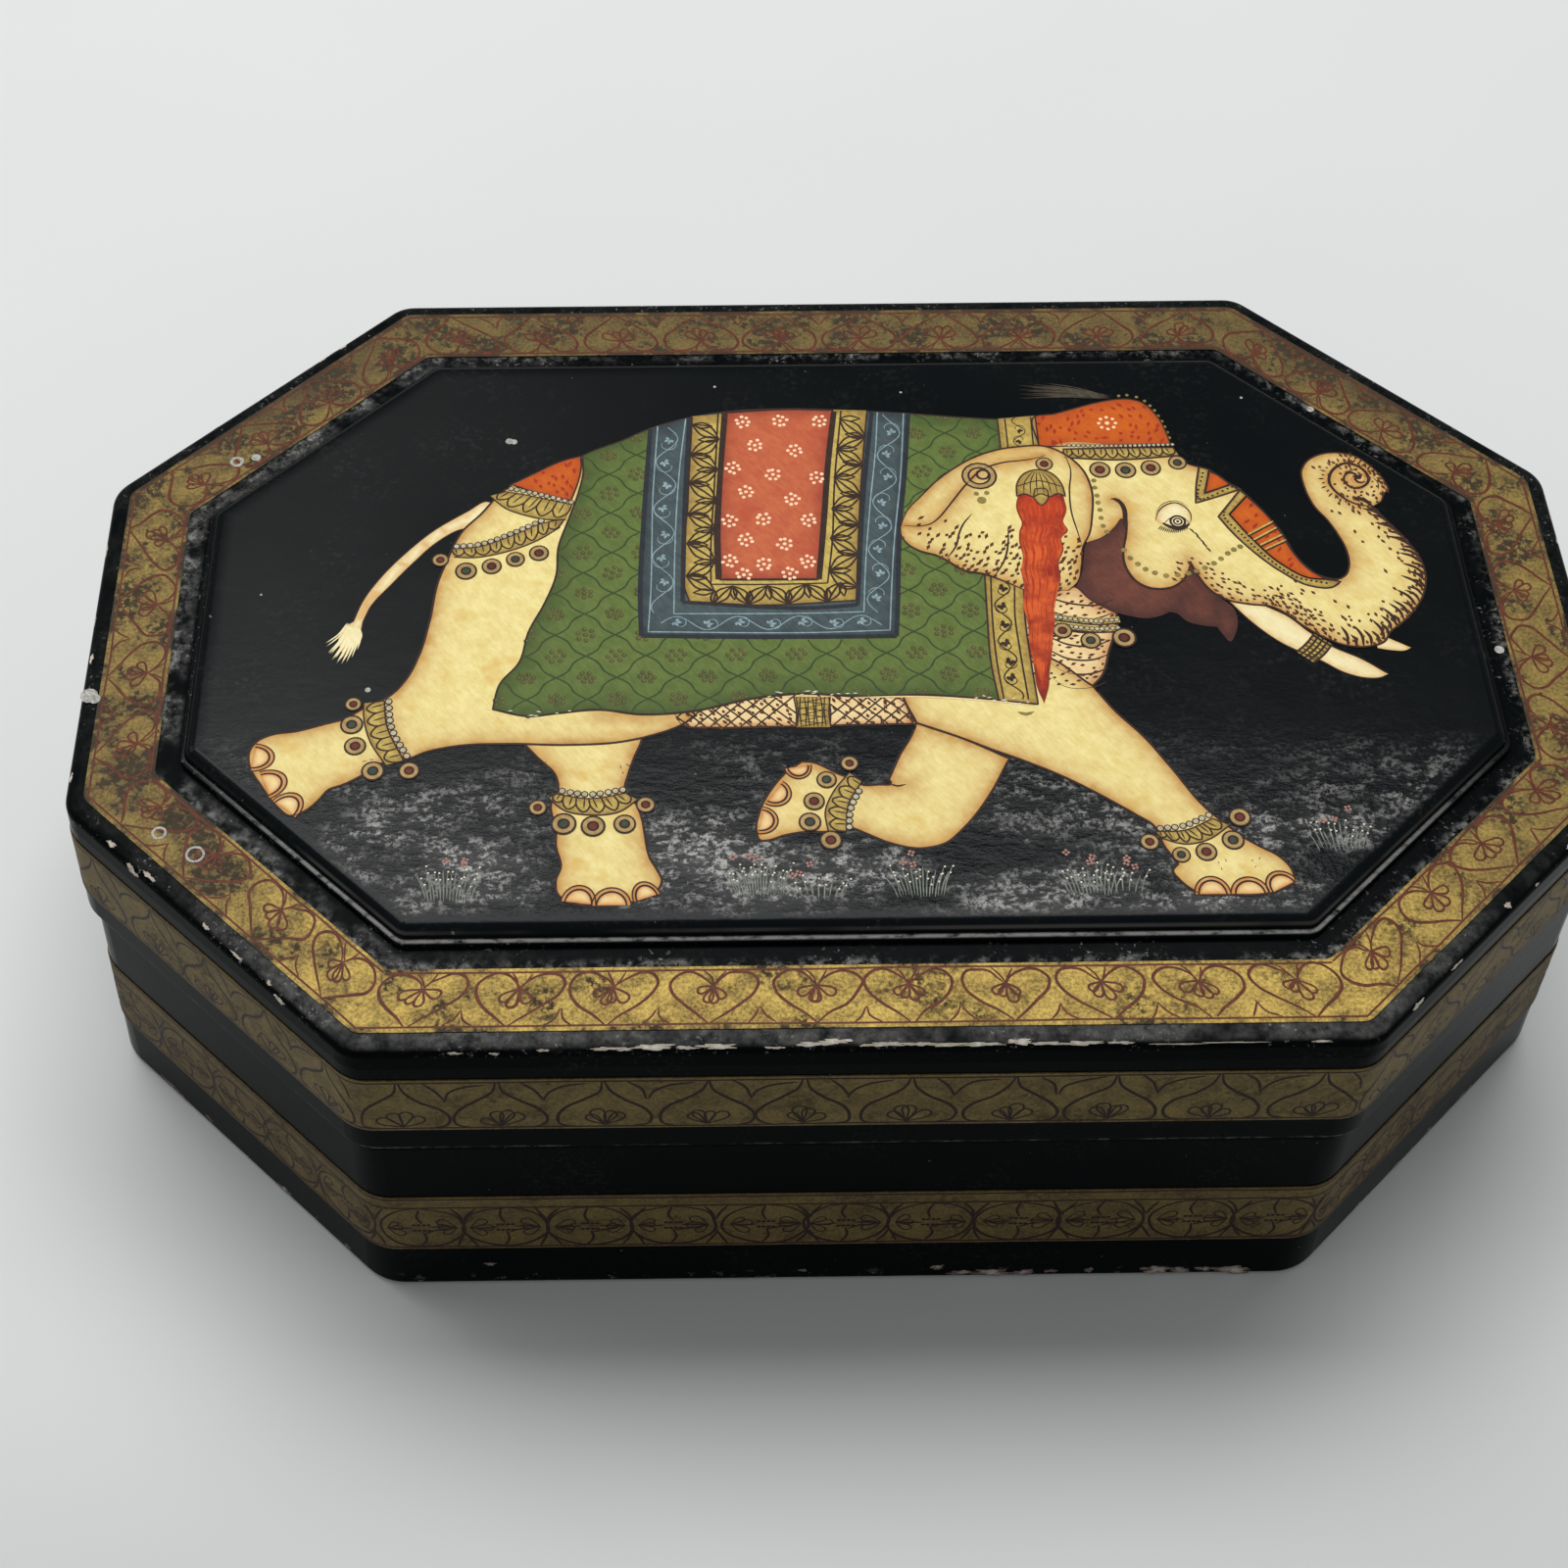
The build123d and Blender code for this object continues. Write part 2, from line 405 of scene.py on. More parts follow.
# %% Paints of the picture
paint_tones = {
    "cream_body": ((236, 222, 153), (218, 196, 120), (174, 110, 38)),
    "rosy_skin": ((236, 214, 160), (224, 190, 130), (176, 104, 48)),
    "nail_shade": ((244, 230, 174), (234, 204, 132), (188, 112, 42)),
    "ivory_tusks": ((240, 230, 184), (230, 214, 160), (206, 160, 92)),
    "maroon_cloth": ((112, 60, 44), (88, 46, 34), (56, 26, 22)),
    "green_cloth": ((98, 116, 52), (80, 98, 40), (58, 74, 28)),
    "green_lattice": ((54, 72, 30), (44, 60, 24)),
    "green_flowers": ((90, 78, 38), (64, 64, 30)),
    "blue_frame": ((72, 86, 86), (50, 64, 68), (38, 46, 52)),
    "blue_scrolls": ((150, 172, 178), (112, 136, 142)),
    "blue_lines": ((34, 40, 48), (22, 28, 34)),
    "gold_leafwork": ((206, 182, 96), (162, 136, 62), (138, 106, 50)),
    "salmon_panel": ((196, 104, 62), (178, 80, 50), (146, 56, 36)),
    "salmon_flowers": ((252, 218, 184), (240, 196, 156)),
    "orange_cloth": ((205, 98, 6), (186, 77, 3), (168, 64, 6)),
    "orange_dashes": ((172, 50, 12), (140, 36, 8)),
    "red_tassel": ((200, 62, 10), (162, 38, 6), (112, 24, 6)),
    "tassel_streaks": ((216, 92, 30), (136, 28, 6)),
    "ink_lines": ((56, 32, 18), (34, 20, 12)),
    "ink_specks": ((96, 48, 20), (60, 28, 12)),
    "pearls": ((198, 190, 164), (158, 148, 120)),
    "bell_rims": ((184, 154, 100), (146, 118, 68)),
    "bell_hearts_red": ((116, 42, 24), (84, 28, 16)),
    "bell_hearts_green": ((58, 76, 58), (40, 56, 42)),
    "chain_beads": ((150, 134, 70), (112, 98, 48)),
    "grass_tufts": ((136, 142, 132), (82, 88, 80)),
    "grass_flowers": ((178, 132, 118), (140, 96, 84)),
    "plume_hairs": ((84, 74, 58), (52, 46, 36)),
    "white_hairs": ((240, 234, 214), (220, 208, 180)),
}
paints = {name: Paint(name) for name in paint_tones}
ink, leafwork, ivory = paints["ink_lines"], paints["gold_leafwork"], paints["ivory_tusks"]
orange, scrolls, white_hairs = paints["orange_cloth"], paints["blue_scrolls"], paints["white_hairs"]
FAR, NEAR, DRESS, FRAME, HEAD, EAR, TASSEL, BELL = 0.02, 0.04, 0.062, 0.078, 0.074, 0.09, 0.104, 0.104
OVER = 0.006
BAND, CAP, NECK_BAND, RUMP, ANKLE = DRESS + 0.004, DRESS + 0.008, DRESS + 0.01, DRESS + 0.002, DRESS - 0.005
LEAVES, SALMON, GRASS, UNDER_NEAR = FRAME + 0.005, FRAME + 0.01, FAR - 0.006, NEAR - 0.01


def trace(places, width, lift, taper=0.7, step=0.4):
    """An ink stroke through given points."""
    ink.line(flow(places, step), width, lift, taper=taper)


def contour(loop, width, lift):
    """An ink line of even width all round a closed outline."""
    ink.line(np.vstack([loop, loop[:1]]), width, lift, taper=0.0)


print(len(paints), "paints")

# %% [markdown]
# ## The legs and the body
#
# The elephant strides to the right. Its pale body colour shows where no cloth lies: the
# hip and the near hind leg in one piece, the far legs behind them, the near foreleg,
# and the neck. Every piece is an outline that is drawn, filled, and edged with ink.

# %% Body outlines
def body_piece(loop, lift, folds=(), reach=1, width=0.24, skin="cream_body"):
    """A pale piece of the body with a darker edge and an ink outline."""
    paints[skin].area(loop, lift, reach=reach, folds=folds)
    ink.line(np.vstack([loop, loop[:2]]), width, lift + OVER, taper=0)


tail = outline(
    [(-34, 14.8), (-36.2, 16.3), (-38, 15), (-41.4, 12.4), (-44, 9.6), (-46.4, 6.4), (-48.3, 2.8),
     (-49, 0.4)], [(-50, -0.4), (-50.4, -1.8), (-49.7, -4.2)], [(-49.2, -3), (-48.2, -1.2), (-48, 0.4)],
    [(-47.4, 2.2), (-45.4, 5.2), (-43.2, 8.2), (-41.2, 10.6), (-38.8, 12.4), (-36, 12.9), (-34.6, 13.8)])
far_hind_leg = outline(
    [(-20, -13), (-20, -14.9), (-20.6, -16.6), (-21.3, -19), (-21.6, -20.6), (-20.4, -22.6), (-19.9, -24.4),
     (-19.7, -25.8), (-19.2, -28.6), (-18.5, -30), (-18.1, -31), (-18.4, -32), (-19.6, -32.9), (-22.6, -33.8),
     (-24.4, -33.8), (-26.4, -33.5), (-27.8, -32.5), (-28, -30.8), (-27.6, -29.6), (-28.1, -27),
     (-28.1, -25.6), (-28.6, -22), (-28, -20.6), (-28.2, -19.1), (-30.2, -16.6), (-32, -14.4)],
    [(-26, -12), (-20, -13)])
far_foreleg = outline(
    [(6.9, -13.1), (6.4, -14.4), (5, -17), (3.8, -19.8)],
    [(4, -20.3), (2.8, -20.4), (1.2, -20.4), (0, -19.6), (-1.2, -19), (-2.4, -18.2), (-3.4, -17.7),
     (-4.5, -17.6)], [(-6, -18.8), (-7.6, -20.9), (-8.8, -23.6), (-9.1, -25.6), (-8.8, -26.7), (-8, -26.7),
                      (-6.6, -26.2), (-4.6, -25.8), (-2.4, -25.8), (0, -25.4), (1, -25.9), (3.6, -27.2),
                      (6.4, -27.8), (8.6, -27.3), (10.8, -25.3), (13.2, -22), (15.6, -17.5)],
    [(11, -14.9), (8, -13.6), (6.9, -13.1)])
near_hind_leg = outline(
    [(-33.6, 18.6), (-35, 17), (-36.6, 14.6), (-38.6, 12), (-39.2, 10.6), (-39.8, 8.6), (-40.7, 5.4),
     (-41.3, 0.4), (-42.2, -4.2), (-43.2, -6.9), (-44.8, -9.1), (-47, -10.4), (-49, -11.9)],
    [(-51, -12.5), (-53.6, -13.3), (-56, -13.7), (-57.3, -14.4), (-58, -15.6), (-57.9, -17.2), (-56.5, -19.8),
     (-54.8, -22.2), (-53.5, -23.3), (-52, -22.7), (-50.8, -21.4), (-50, -20.3), (-48.8, -19.8),
     (-46.8, -18.6), (-45, -17.2), (-42.4, -16.7), (-41.2, -16.1), (-38, -15.3), (-33, -15.1), (-27, -15.3),
     (-22, -15), (-18.8, -14.2), (-16.2, -13.1), (-14.6, -11.9)], [(-20, -6), (-24, 6), (-26, 22.6)],
    [(-28.2, 21.9), (-31.4, 20), (-33.6, 18.6)])
belly = outline([(-17, -11), (-16, -13), (-13, -13.4), (-9, -13.4), (-2, -13.3), (6.9, -13.2)],
                [(6.2, -11.4), (5.8, -9)], [(-6, -8.6), (-17, -11)])
near_foreleg = outline(
    [(24.6, -8.8), (26.4, -11.8), (29, -15.2), (31, -18.6), (34, -23.8), (35.6, -25.6), (37.2, -27.2)],
    [(38.6, -28.2), (39.8, -29), (41, -30.8), (41, -32), (40, -32.7), (38.2, -33.3), (35, -33.4),
     (31.8, -33.1), (30.4, -31.8), (29.8, -30.6), (30.4, -29.9)],
    [(29.3, -27.8), (28.6, -25.5), (27, -24.2), (24.2, -22.1), (20.4, -19.6), (16.8, -17.7), (14.2, -16.5),
     (11, -14.9), (6.9, -13.1)], [(5.8, -9.4), (14, -7), (20, -5), (24.6, -8.8)])
neck = outline([(19, 4), (22, 3.4), (24.2, 3.9), (25.4, 2.4), (28, 0.4)],
               [(27.6, -1.8), (26.7, -4.4), (25.6, -7.6), (24.6, -8.8)], [(19, -8), (19, 4)])

body_piece(far_hind_leg, FAR, reach=1.1)
body_piece(far_foreleg, FAR, folds=[flow([(3.8, -20.3), (4.8, -20.5), (5.6, -20.4)])], reach=1.1)
body_piece(tail, FAR, reach=0.25, width=0.15, skin="ivory_tusks")
body_piece(near_hind_leg, NEAR, folds=[flow([(-24, -11.8), (-19, -12), (-15, -12)]),
                                       flow([(-45.5, -10), (-44.6, -13), (-43, -16.6)])])
body_piece(belly, UNDER_NEAR, reach=0.4, skin="rosy_skin")
body_piece(near_foreleg, NEAR + 0.006)
body_piece(neck, UNDER_NEAR, reach=0.7, skin="rosy_skin")
trace([(3.8, -20.3), (4.6, -20.6), (5.4, -20.4)], 0.2, FAR + 2 * OVER)
for hair in range(22):
    f = hair / 21
    root = np.array([-49.6 + 1.2 * f, 0.2 - 0.5 * f])
    tip = np.array([-51.6 + 3.4 * f, -2.4 - 2.4 * math.sin(f * math.pi) ** 0.7 + 0.3 * math.sin(hair * 2.1)])
    ivory.line(flow([root, (root + tip) / 2 + (0.25, -0.15), tip]), 0.15, NEAR + OVER, taper=0.97)
print("body pieces laid")

# %% [markdown]
# ## Toenails
#
# Each foot ends in rounded nails, drawn as a small pale arch with a second thin arch
# round it. One function draws a nail from its place, its direction and its size.

# %% Nails on the four feet
def nail(place, facing, width, height, lift):
    """A nail as a half ellipse about place, opening towards facing (degrees), with an outer arch."""
    turn = between(-math.pi / 2, math.pi / 2, 15)
    way = math.radians(facing)
    for grow, thick in ((1, 0.22), (1.3, 0.16)):
        out, across = np.cos(turn) * height * grow, np.sin(turn) * width * grow
        arch = np.column_stack([place[0] + out * math.cos(way) - across * math.sin(way),
                                place[1] + out * math.sin(way) + across * math.cos(way)])
        ink.line(arch, thick, lift + 0.004 + OVER, taper=0.3)
        if grow == 1.0:
            paints["nail_shade"].area(arch, lift + 0.003, mesh=0.3, reach=0.38)
        else:
            paints["nail_shade"].area(arch, lift, mesh=0.4, reach=0.9)


for number, (place, facing, width, height) in enumerate(
        (((-57.6, -16.4), -5, 1.25, 1.6), ((-56.2, -19.7), 22, 1.3, 1.7), ((-54.1, -22.5), 50, 1.2, 1.6),
         ((-25.9, -33.5), 82, 1.25, 1.5), ((-22.8, -33.8), 90, 1.4, 1.5), ((-19.5, -33), 110, 1, 1.4),
         ((-4.9, -18.2), -80, 1, 1.1), ((-7.3, -21.2), -35, 1.2, 1.3), ((-8.7, -24.4), -10, 1.2, 1.3),
         ((33.2, -33.3), 90, 1.3, 1.5), ((36.7, -33.4), 90, 1.4, 1.5), ((39.9, -32.6), 118, 1.2, 1.4))):
    nail(place, facing, width, height, NEAR + 0.009 + 0.006 * (number % 2))
print("twelve nails")

# %% [markdown]
# ## The saddle cloth
#
# A large green cloth hangs over the back, patterned with a lattice of wavy diamonds and
# a small brown flower in each. On it lie, one inside the other, a blue border with a
# pale scroll, a gold border of leaves, and a salmon panel strewn with flowers.

# %% Green cloth
back_line = [(-26.2, 22.6), (-25, 23.3), (-22.2, 24.6), (-19, 26.4), (-15.2, 27.8), (-11, 28.7), (-4, 29.05),
             (1, 28.8), (8.6, 28.2), (15, 27.5), (18.5, 27.2)]
cloth_left = [(-26.2, 22.6), (-26.1, 20), (-26.5, 17.6), (-27.6, 13.4), (-28.5, 10), (-28.7, 6), (-29.8, 2.4),
              (-31.3, -1.2), (-32.2, -5.2), (-34, -7.8), (-34.6, -10.9)]
cloth_hem = [(-34.6, -10.9), (-31, -11.8), (-28.4, -11.5), (-24, -11.1), (-20.2, -11.7), (-15, -11.4),
             (-9, -9.9), (-5, -9.4), (2, -9.8), (8, -9.7), (14, -10.3), (19, -11)]
cloth_right = [(19, -11), (18.8, -6), (18.7, 0), (18.9, 3.4), (20, 8), (22, 14), (20, 20), (18.5, 27.2)]
cloth = outline(cloth_left, cloth_hem, cloth_right, back_line[::-1])
paints["green_cloth"].area(cloth, DRESS, mesh=1.6, reach=1.6)
trace(cloth_left, 0.22, DRESS + OVER, taper=0.2)
trace(cloth_hem, 0.26, DRESS + OVER, taper=0.2)
trace(back_line, 0.2, DRESS + OVER, taper=0.2)

lattice_pitch_x, lattice_pitch_y = 6.0, 5.4
lattice_x, lattice_y = -23, 9.1
lattice_lean = 0.035


def cut_to(path, *loops):
    """The stretches of a path that lie inside the first loop and outside the others."""
    keep = inside(path, loops[0])
    for loop in loops[1:]:
        keep &= ~inside(path, loop)
    breaks = np.flatnonzero(np.diff(keep.astype(int))) + 1
    return [part for part, kept in zip(np.split(path, breaks), np.split(keep, breaks))
            if kept[0] and len(part) > 2]


blue_outer = outline(
    [(-19, 26.4), (-19.2, 23.2), (-19.7, 14), (-20.1, 2), (-20, -1.9)], [(-9, -2.2), (-2, -2.5), (5.6, -2.3)],
    [(5.9, 1), (6.9, 13), (7.7, 19), (8.8, 28.2)],
    [(1, 28.8), (-4, 29.05), (-11, 28.7), (-15.2, 27.8), (-19, 26.4)])
front_band = outline([(15.1, 6), (14.9, 0), (14.8, -6), (15.2, -10.6)], [(19, -11)],
                     [(18.8, -6), (18.7, 0), (18.9, 4)], [(15.1, 6)])
for lean in (-1, 1):
    for column in range(-10, 14):
        v = between(-14, 30, 260)
        wave = np.sin((v - lattice_y) * 4 * math.pi / lattice_pitch_y) * 0.3
        u = column * lattice_pitch_x + lattice_x + lean * (v - lattice_y) * lattice_pitch_x / lattice_pitch_y
        tilt = -lattice_lean * (v - 9)
        for part in cut_to(np.column_stack([u + wave * lean + tilt, v]), cloth, blue_outer, front_band):
            paints["green_lattice"].line(part, 0.2, DRESS + 0.005, taper=0.1)

for row in range(-5, 9):
    for column in range(-5, 14):
        for half in (0, 0.5):
            v = lattice_y + (row + half) * lattice_pitch_y
            u = lattice_x + (column + half + 0.5) * lattice_pitch_x - lattice_lean * (v - 9)
            centre = np.array([u, v])
            around = np.arange(6) * math.pi / 3 + 0.7 * row + column
            petals = centre + 0.76 * np.column_stack([np.cos(around), 0.85 * np.sin(around)])
            petals = petals + 0.08 * np.sin(around * 5 + v)[:, None]
            flower = np.vstack([petals, centre[None]])
            keep = inside(flower, cloth) & ~inside(flower, blue_outer) & ~inside(flower, front_band)
            if keep.any():
                paints["green_flowers"].dots(flower[keep], 0.3, BAND, sides=7, height=0.008)
                # Painted glints: a small green dot on each brown petal, set a little to the back right,
                # stands in for light catching it.
                paints["green_cloth"].dots(flower[keep] + 0.06, 0.12, DRESS + 0.012, sides=5, height=0.004)
print("green cloth with", len(paints["green_flowers"].points), "flowers")

# %% Blue border with a pale scroll
white_outer = outline([(-18.2, 26.7), (-18.7, 18), (-19.1, 2), (-19.3, -1.4)], [(-2, -1.7), (5, -1.5)],
                      [(5.3, 2), (6.1, 10), (7.3, 19), (8.2, 28.2)])
white_inner = outline([(-15.2, 27.7), (-15.9, 20.8), (-16.5, 10), (-16.7, 0.9)], [(-2, 0.8), (2.5, 0.9)],
                      [(2.9, 6), (4, 16), (4.9, 23), (5.4, 28.4)])
paints["blue_frame"].area(blue_outer, FRAME, mesh=1.3, reach=0.6)
for stroke in ([(-19, 26.3), (-19.7, 14), (-20.1, 2), (-20, -1.9)], [(-20, -1.9), (-9, -2.2), (5.6, -2.3)],
               [(5.6, -2.3), (5.9, 1), (6.9, 13), (7.7, 19), (8.7, 28.1)],
               [(-14.8, 27.9), (-15.4, 16), (-15.8, 2.4)], [(-15.8, 2.4), (-2, 1.5), (1.9, 1.8)],
               [(1.9, 1.8), (3.2, 16), (4.8, 28.6)]):
    paints["blue_lines"].line(flow(stroke), 0.5, FRAME + OVER, taper=0.1)
for loop in (white_outer, white_inner):
    scrolls.line(loop, 0.13, FRAME + OVER, taper=0.0)


def vine(middle, pitch, swing, width, lift, paint, leaf=1.0):
    """A scroll: a sine wave about a middle line, with a tendril and a fan of four leaves in each bend.

    The wave swings square to the middle line. A tendril is an arc of half a turn that
    leaves the wave at its crest and winds in towards the middle line.
    """
    middle = flow(middle)
    way, aside, along = walk(middle)
    wave = np.sin(along * 2 * math.pi / pitch)
    stem = middle + aside * (wave * swing)[:, None]
    paint.line(stem, width, lift, taper=0.1)
    for n in range(int(along[-1] / pitch * 2)):
        s = (n + 0.5) * pitch / 2
        i = int(np.searchsorted(along, s))
        if i >= len(middle) - 2:
            continue
        side = 1 if n % 2 == 0 else -1
        t = between(0, 1, 12)
        turn, radius = t * 3.4, swing * (0.95 - 0.45 * t)
        heart = middle[i] + way[i] * swing * 0.35
        outwards = side * (np.cos(turn) * radius)[:, None] * aside[i]
        curl = heart + outwards + (np.sin(turn) * radius)[:, None] * way[i]
        paint.line(curl, width * 0.8, lift, taper=0.6)
        root = middle[i] + aside[i] * side * swing * 0.3 - way[i] * swing * 0.3
        for lean, long in ((-0.5, 0.6), (0.25, 0.85), (1.0, 0.8), (1.8, 0.6)):
            tip = root + leaf * long * (way[i] * math.cos(lean) - aside[i] * side * math.sin(lean))
            blade = np.array([root * 0.85 + tip * 0.15, root * 0.4 + tip * 0.6, tip])
            paint.line(blade, width * 3.2, lift + 0.002, taper=0.95)


vine([(-17.1, 26.5), (-17.6, 14), (-17.9, 1)], 6.6, 1.1, 0.11, FRAME + OVER, scrolls)
vine([(-18, -0.3), (-8, -0.4), (4.2, -0.4)], 6.2, 0.85, 0.11, FRAME + OVER, scrolls)
vine([(3.9, 0.8), (4.6, 10), (5.9, 20), (6.8, 28)], 6.6, 1.1, 0.11, FRAME + OVER, scrolls)
print("blue border laid")

# %% Gold leaf border and salmon panel
gold_outer = outline([(-14.5, 28.1), (-15.1, 16), (-15.4, 3.5), (-15, 2.2)], [(-7, 1.9), (1.8, 2.4)],
                     [(2.4, 10), (3.1, 18), (4.3, 28.7)], [(-4, 29), (-14.5, 28.1)])
salmon = outline([(-10.8, 28.6), (-11.6, 18), (-11.9, 12), (-11.9, 5.3)], [(-2, 5.2)],
                 [(-1.1, 14), (-0.3, 22), (0.6, 28.8)], [(-4, 29), (-10.8, 28.6)])
leafwork.area(gold_outer, LEAVES, mesh=1.2, reach=0.7)
paints["salmon_panel"].area(salmon, SALMON, mesh=1.2, reach=0.8)
contour(salmon, 0.3, SALMON + OVER)
for stroke, width in (([(-11.1, 28.6), (-11.8, 18), (-12.2, 12), (-12.2, 5.3)], 0.55),
                      ([(0.8, 28.6), (-0.1, 22), (-0.9, 14), (-1.8, 5.2)], 0.6)):
    trace(stroke, width, SALMON + OVER, taper=0.2)
for stroke in (
        [(-11.7, 28.5), (-12.3, 18), (-12.8, 10), (-12.9, 4.7)], [(-12.9, 4.7), (-7, 4.6), (-1, 4.7)],
        [(-1, 4.7), (-0.3, 10), (0.3, 18), (1.5, 28.7)], [(-14.5, 28), (-15.1, 16), (-15.4, 3.5), (-15, 2.2)],
        [(-15, 2.2), (-7, 1.9), (1.8, 2.4)], [(1.8, 2.4), (2.4, 10), (3.1, 18), (4.3, 28.7)]):
    trace(stroke, 0.2, LEAVES + OVER, taper=0.1)


def leaf_row(middle, pitch, half_width, lift, width=0.23):
    """Pointed leaves in a zigzag between two edges, and one more straight across from each turn."""
    middle = flow(middle)
    way, aside, along = walk(middle)
    places = [int(np.searchsorted(along, s)) for s in np.arange(pitch / 4, along[-1], pitch / 2)]
    roots = [middle[i] + aside[i] * half_width * (1 if n % 2 else -1) for n, i in enumerate(places)]
    for n, i in enumerate(places):
        across_tip = roots[n] + (middle[i] - roots[n]) * 1.5 + way[i] * 0.2
        for tip, bulges in (
                (across_tip, (0.34, -0.34)), (roots[min(n + 1, len(roots) - 1)], (0.48, 0.06, -0.36))):
            aslant = np.array([roots[n][1] - tip[1], tip[0] - roots[n][0]]) * 0.5
            for bulge in () if tip is roots[n] else bulges:
                trace(
                    [roots[n], (roots[n] + tip) / 2 + aslant * bulge, tip], width, lift, taper=0.5, step=0.25)


leaf_row([(-13, 28), (-13.6, 16), (-14, 3.4)], 4.2, 1.5, LEAVES + OVER)
leaf_row([(-13.9, 3.3), (-7, 3.2), (1.2, 3.6)], 3.8, 1.25, LEAVES + OVER)
leaf_row([(0.5, 3), (1.3, 14), (1.9, 20), (2.8, 27.8)], 4.2, 1.5, LEAVES + OVER)

blossoms = [(-9.1, 27.2), (-5.1, 27.3), (-0.9, 27.2), (-7.9, 23.8), (-3.7, 23), (-10.3, 20.6), (-6.1, 19.6),
            (-1.5, 19.1), (-9, 17.2), (-4.2, 16.1), (-10.8, 13.2), (-7.3, 13.4), (-2.6, 13.2), (-9.2, 10.6),
            (-5.2, 10), (-10.9, 7.8), (-7.4, 7.3), (-2.9, 7.6), (-9.5, 5.9), (-4.8, 6)]
for number, (x, y) in enumerate(blossoms):
    around = np.arange(7) * 2 * math.pi / 7 + number
    ring = np.column_stack([x + 0.66 * np.cos(around), y + 0.71 * np.sin(around)])
    ring = ring + 0.07 * np.sin(around * 3 + x)[:, None]
    drops = np.vstack([ring, [(x, y)]])
    drops = drops[inside(drops, salmon)]
    paints["salmon_flowers"].dots(drops, 0.21, FRAME + 0.016, sides=7)
print("gold border and salmon panel with", len(blossoms), "blossoms")

# %% [markdown]
# ## The head, the trunk and the ear
#
# The head is one outline from the cap over the brow, round the curled trunk and back to
# the jaw. The ear lies over it with a rolled upper edge and thin veins. Short curved
# strokes across the trunk give it its folds, and ink specks its mottled skin.

# %% Head and trunk
brow = [(36.4, 21.8), (37.8, 20.5), (39.8, 19.7), (41.6, 17.9), (43.4, 15.8), (45.2, 13), (46.4, 10.4),
        (46.6, 9.4), (47.2, 7.8), (49, 5.2), (50, 4.7), (51, 4.5), (51.9, 5), (52.5, 6.3), (52.6, 8),
        (52, 10.6), (51.3, 12.4), (50.2, 14.4), (49.6, 17), (49.7, 19.6), (50.4, 20.7), (52, 21.7),
        (53.8, 21.9), (55.4, 21.5), (57, 20), (58.1, 17.9), (58.4, 16.6)]
trunk_front = [
    (56.3, 14.3), (57.5, 12.2), (59, 9.6), (60, 6.9), (60.1, 5), (59.3, 2.2), (57.8, 0), (56.4, -1.4),
    (55.2, -2.4), (54.4, -3.6), (52.8, -4.2), (50.6, -4.1), (48.6, -3.1), (46.6, -1.5), (45, 0.2), (43.8, 1),
    (41.4, 1.4), (39.4, 2), (37.8, 3.4), (36.9, 5.2), (36.3, 7.1)]
jaw = [(36.3, 7.1), (36, 6), (35.2, 4.6), (34.2, 3.8), (33, 3.5), (31.6, 3.7), (30.5, 4.5), (29.8, 5.8),
       (29.5, 7.4), (29.7, 9), (30.1, 10.6), (30.4, 12.4), (30.4, 14), (30, 15), (29.4, 15.6)]
head = outline(brow, [(58.4, 16.6), (57.8, 16.1), (57.3, 15), (56.3, 14.3)], trunk_front, jaw[:12],
               [(30.4, 12.4), (30, 13), (29, 11.8), (27.6, 10.5), (26, 9.8)],
               [(24, 12), (22, 18), (23, 22.4), (36.4, 22.2)], step=0.35)
trunk_spiral = [(55.6, 19.6), (54.4, 19.1), (53.9, 18), (54.6, 16.9), (55.8, 17.1), (56.5, 18), (56.2, 19.4),
                (54.6, 20.4), (52.9, 19.4), (52.3, 17.8), (53.2, 15.8), (55, 14.5), (56.4, 14.4)]
paints["cream_body"].area(head, HEAD, mesh=0.7, reach=1.1, folds=[flow(trunk_spiral), flow(jaw)])
trace(brow, 0.22, HEAD + OVER, taper=0.2)
trace(trunk_front, 0.22, HEAD + OVER, taper=0.2)
trace(jaw, 0.26, HEAD + OVER)
trace([(29.1, 15.7), (29.6, 15.7), (30.1, 15.1), (30.35, 14.2), (30.3, 13), (30.2, 11.6)], 0.52, HEAD + OVER,
      taper=0.75)
trace(trunk_spiral, 0.34, HEAD + OVER)
trace([(56.3, 14.3), (57.3, 15), (57.8, 16.1), (58.4, 16.6)], 0.18, HEAD + OVER)
trace([(57, 18.4), (57.4, 17.6), (57.3, 16.6)], 0.12, HEAD + OVER)
trace(
    [(54.2, 18.7), (54.7, 19.1), (55.3, 18.7), (55.1, 18), (55.6, 17.6), (56.1, 17.8)], 0.34, HEAD + 2 * OVER)
ink.dots([(55.5, 18.4)], 0.34, HEAD + 2 * OVER, sides=9, height=0.004)

trunk_inner, trunk_outer = flow(brow[10:22]), flow(list(trunk_front[:12]))
for n in range(34):
    f = n / 33
    a = trunk_outer[int(f * (len(trunk_outer) - 1))]
    b = trunk_inner[int((1 - f) * (len(trunk_inner) * 0.86))]
    inwards = (b - a) / np.linalg.norm(b - a)
    sweep = np.array([-inwards[1], inwards[0]])
    long = 2.2 + 0.7 * math.sin(n * 2.3)
    trace([a, a + inwards * long * 0.5 - sweep * 0.28, a + inwards * long + sweep * 0.1], 0.34, HEAD + OVER,
          taper=0.85)
hub = np.array([54.6, 17.9])
for n in range(24):
    angle = math.radians(250 - 11 * n)
    way = np.array([math.cos(angle), math.sin(angle)])
    trace([hub + way * 2.75, hub + way * (3.2 + 0.3 * (n % 2)) + (0.08, -0.1)], 0.22, HEAD + OVER, taper=0.8)
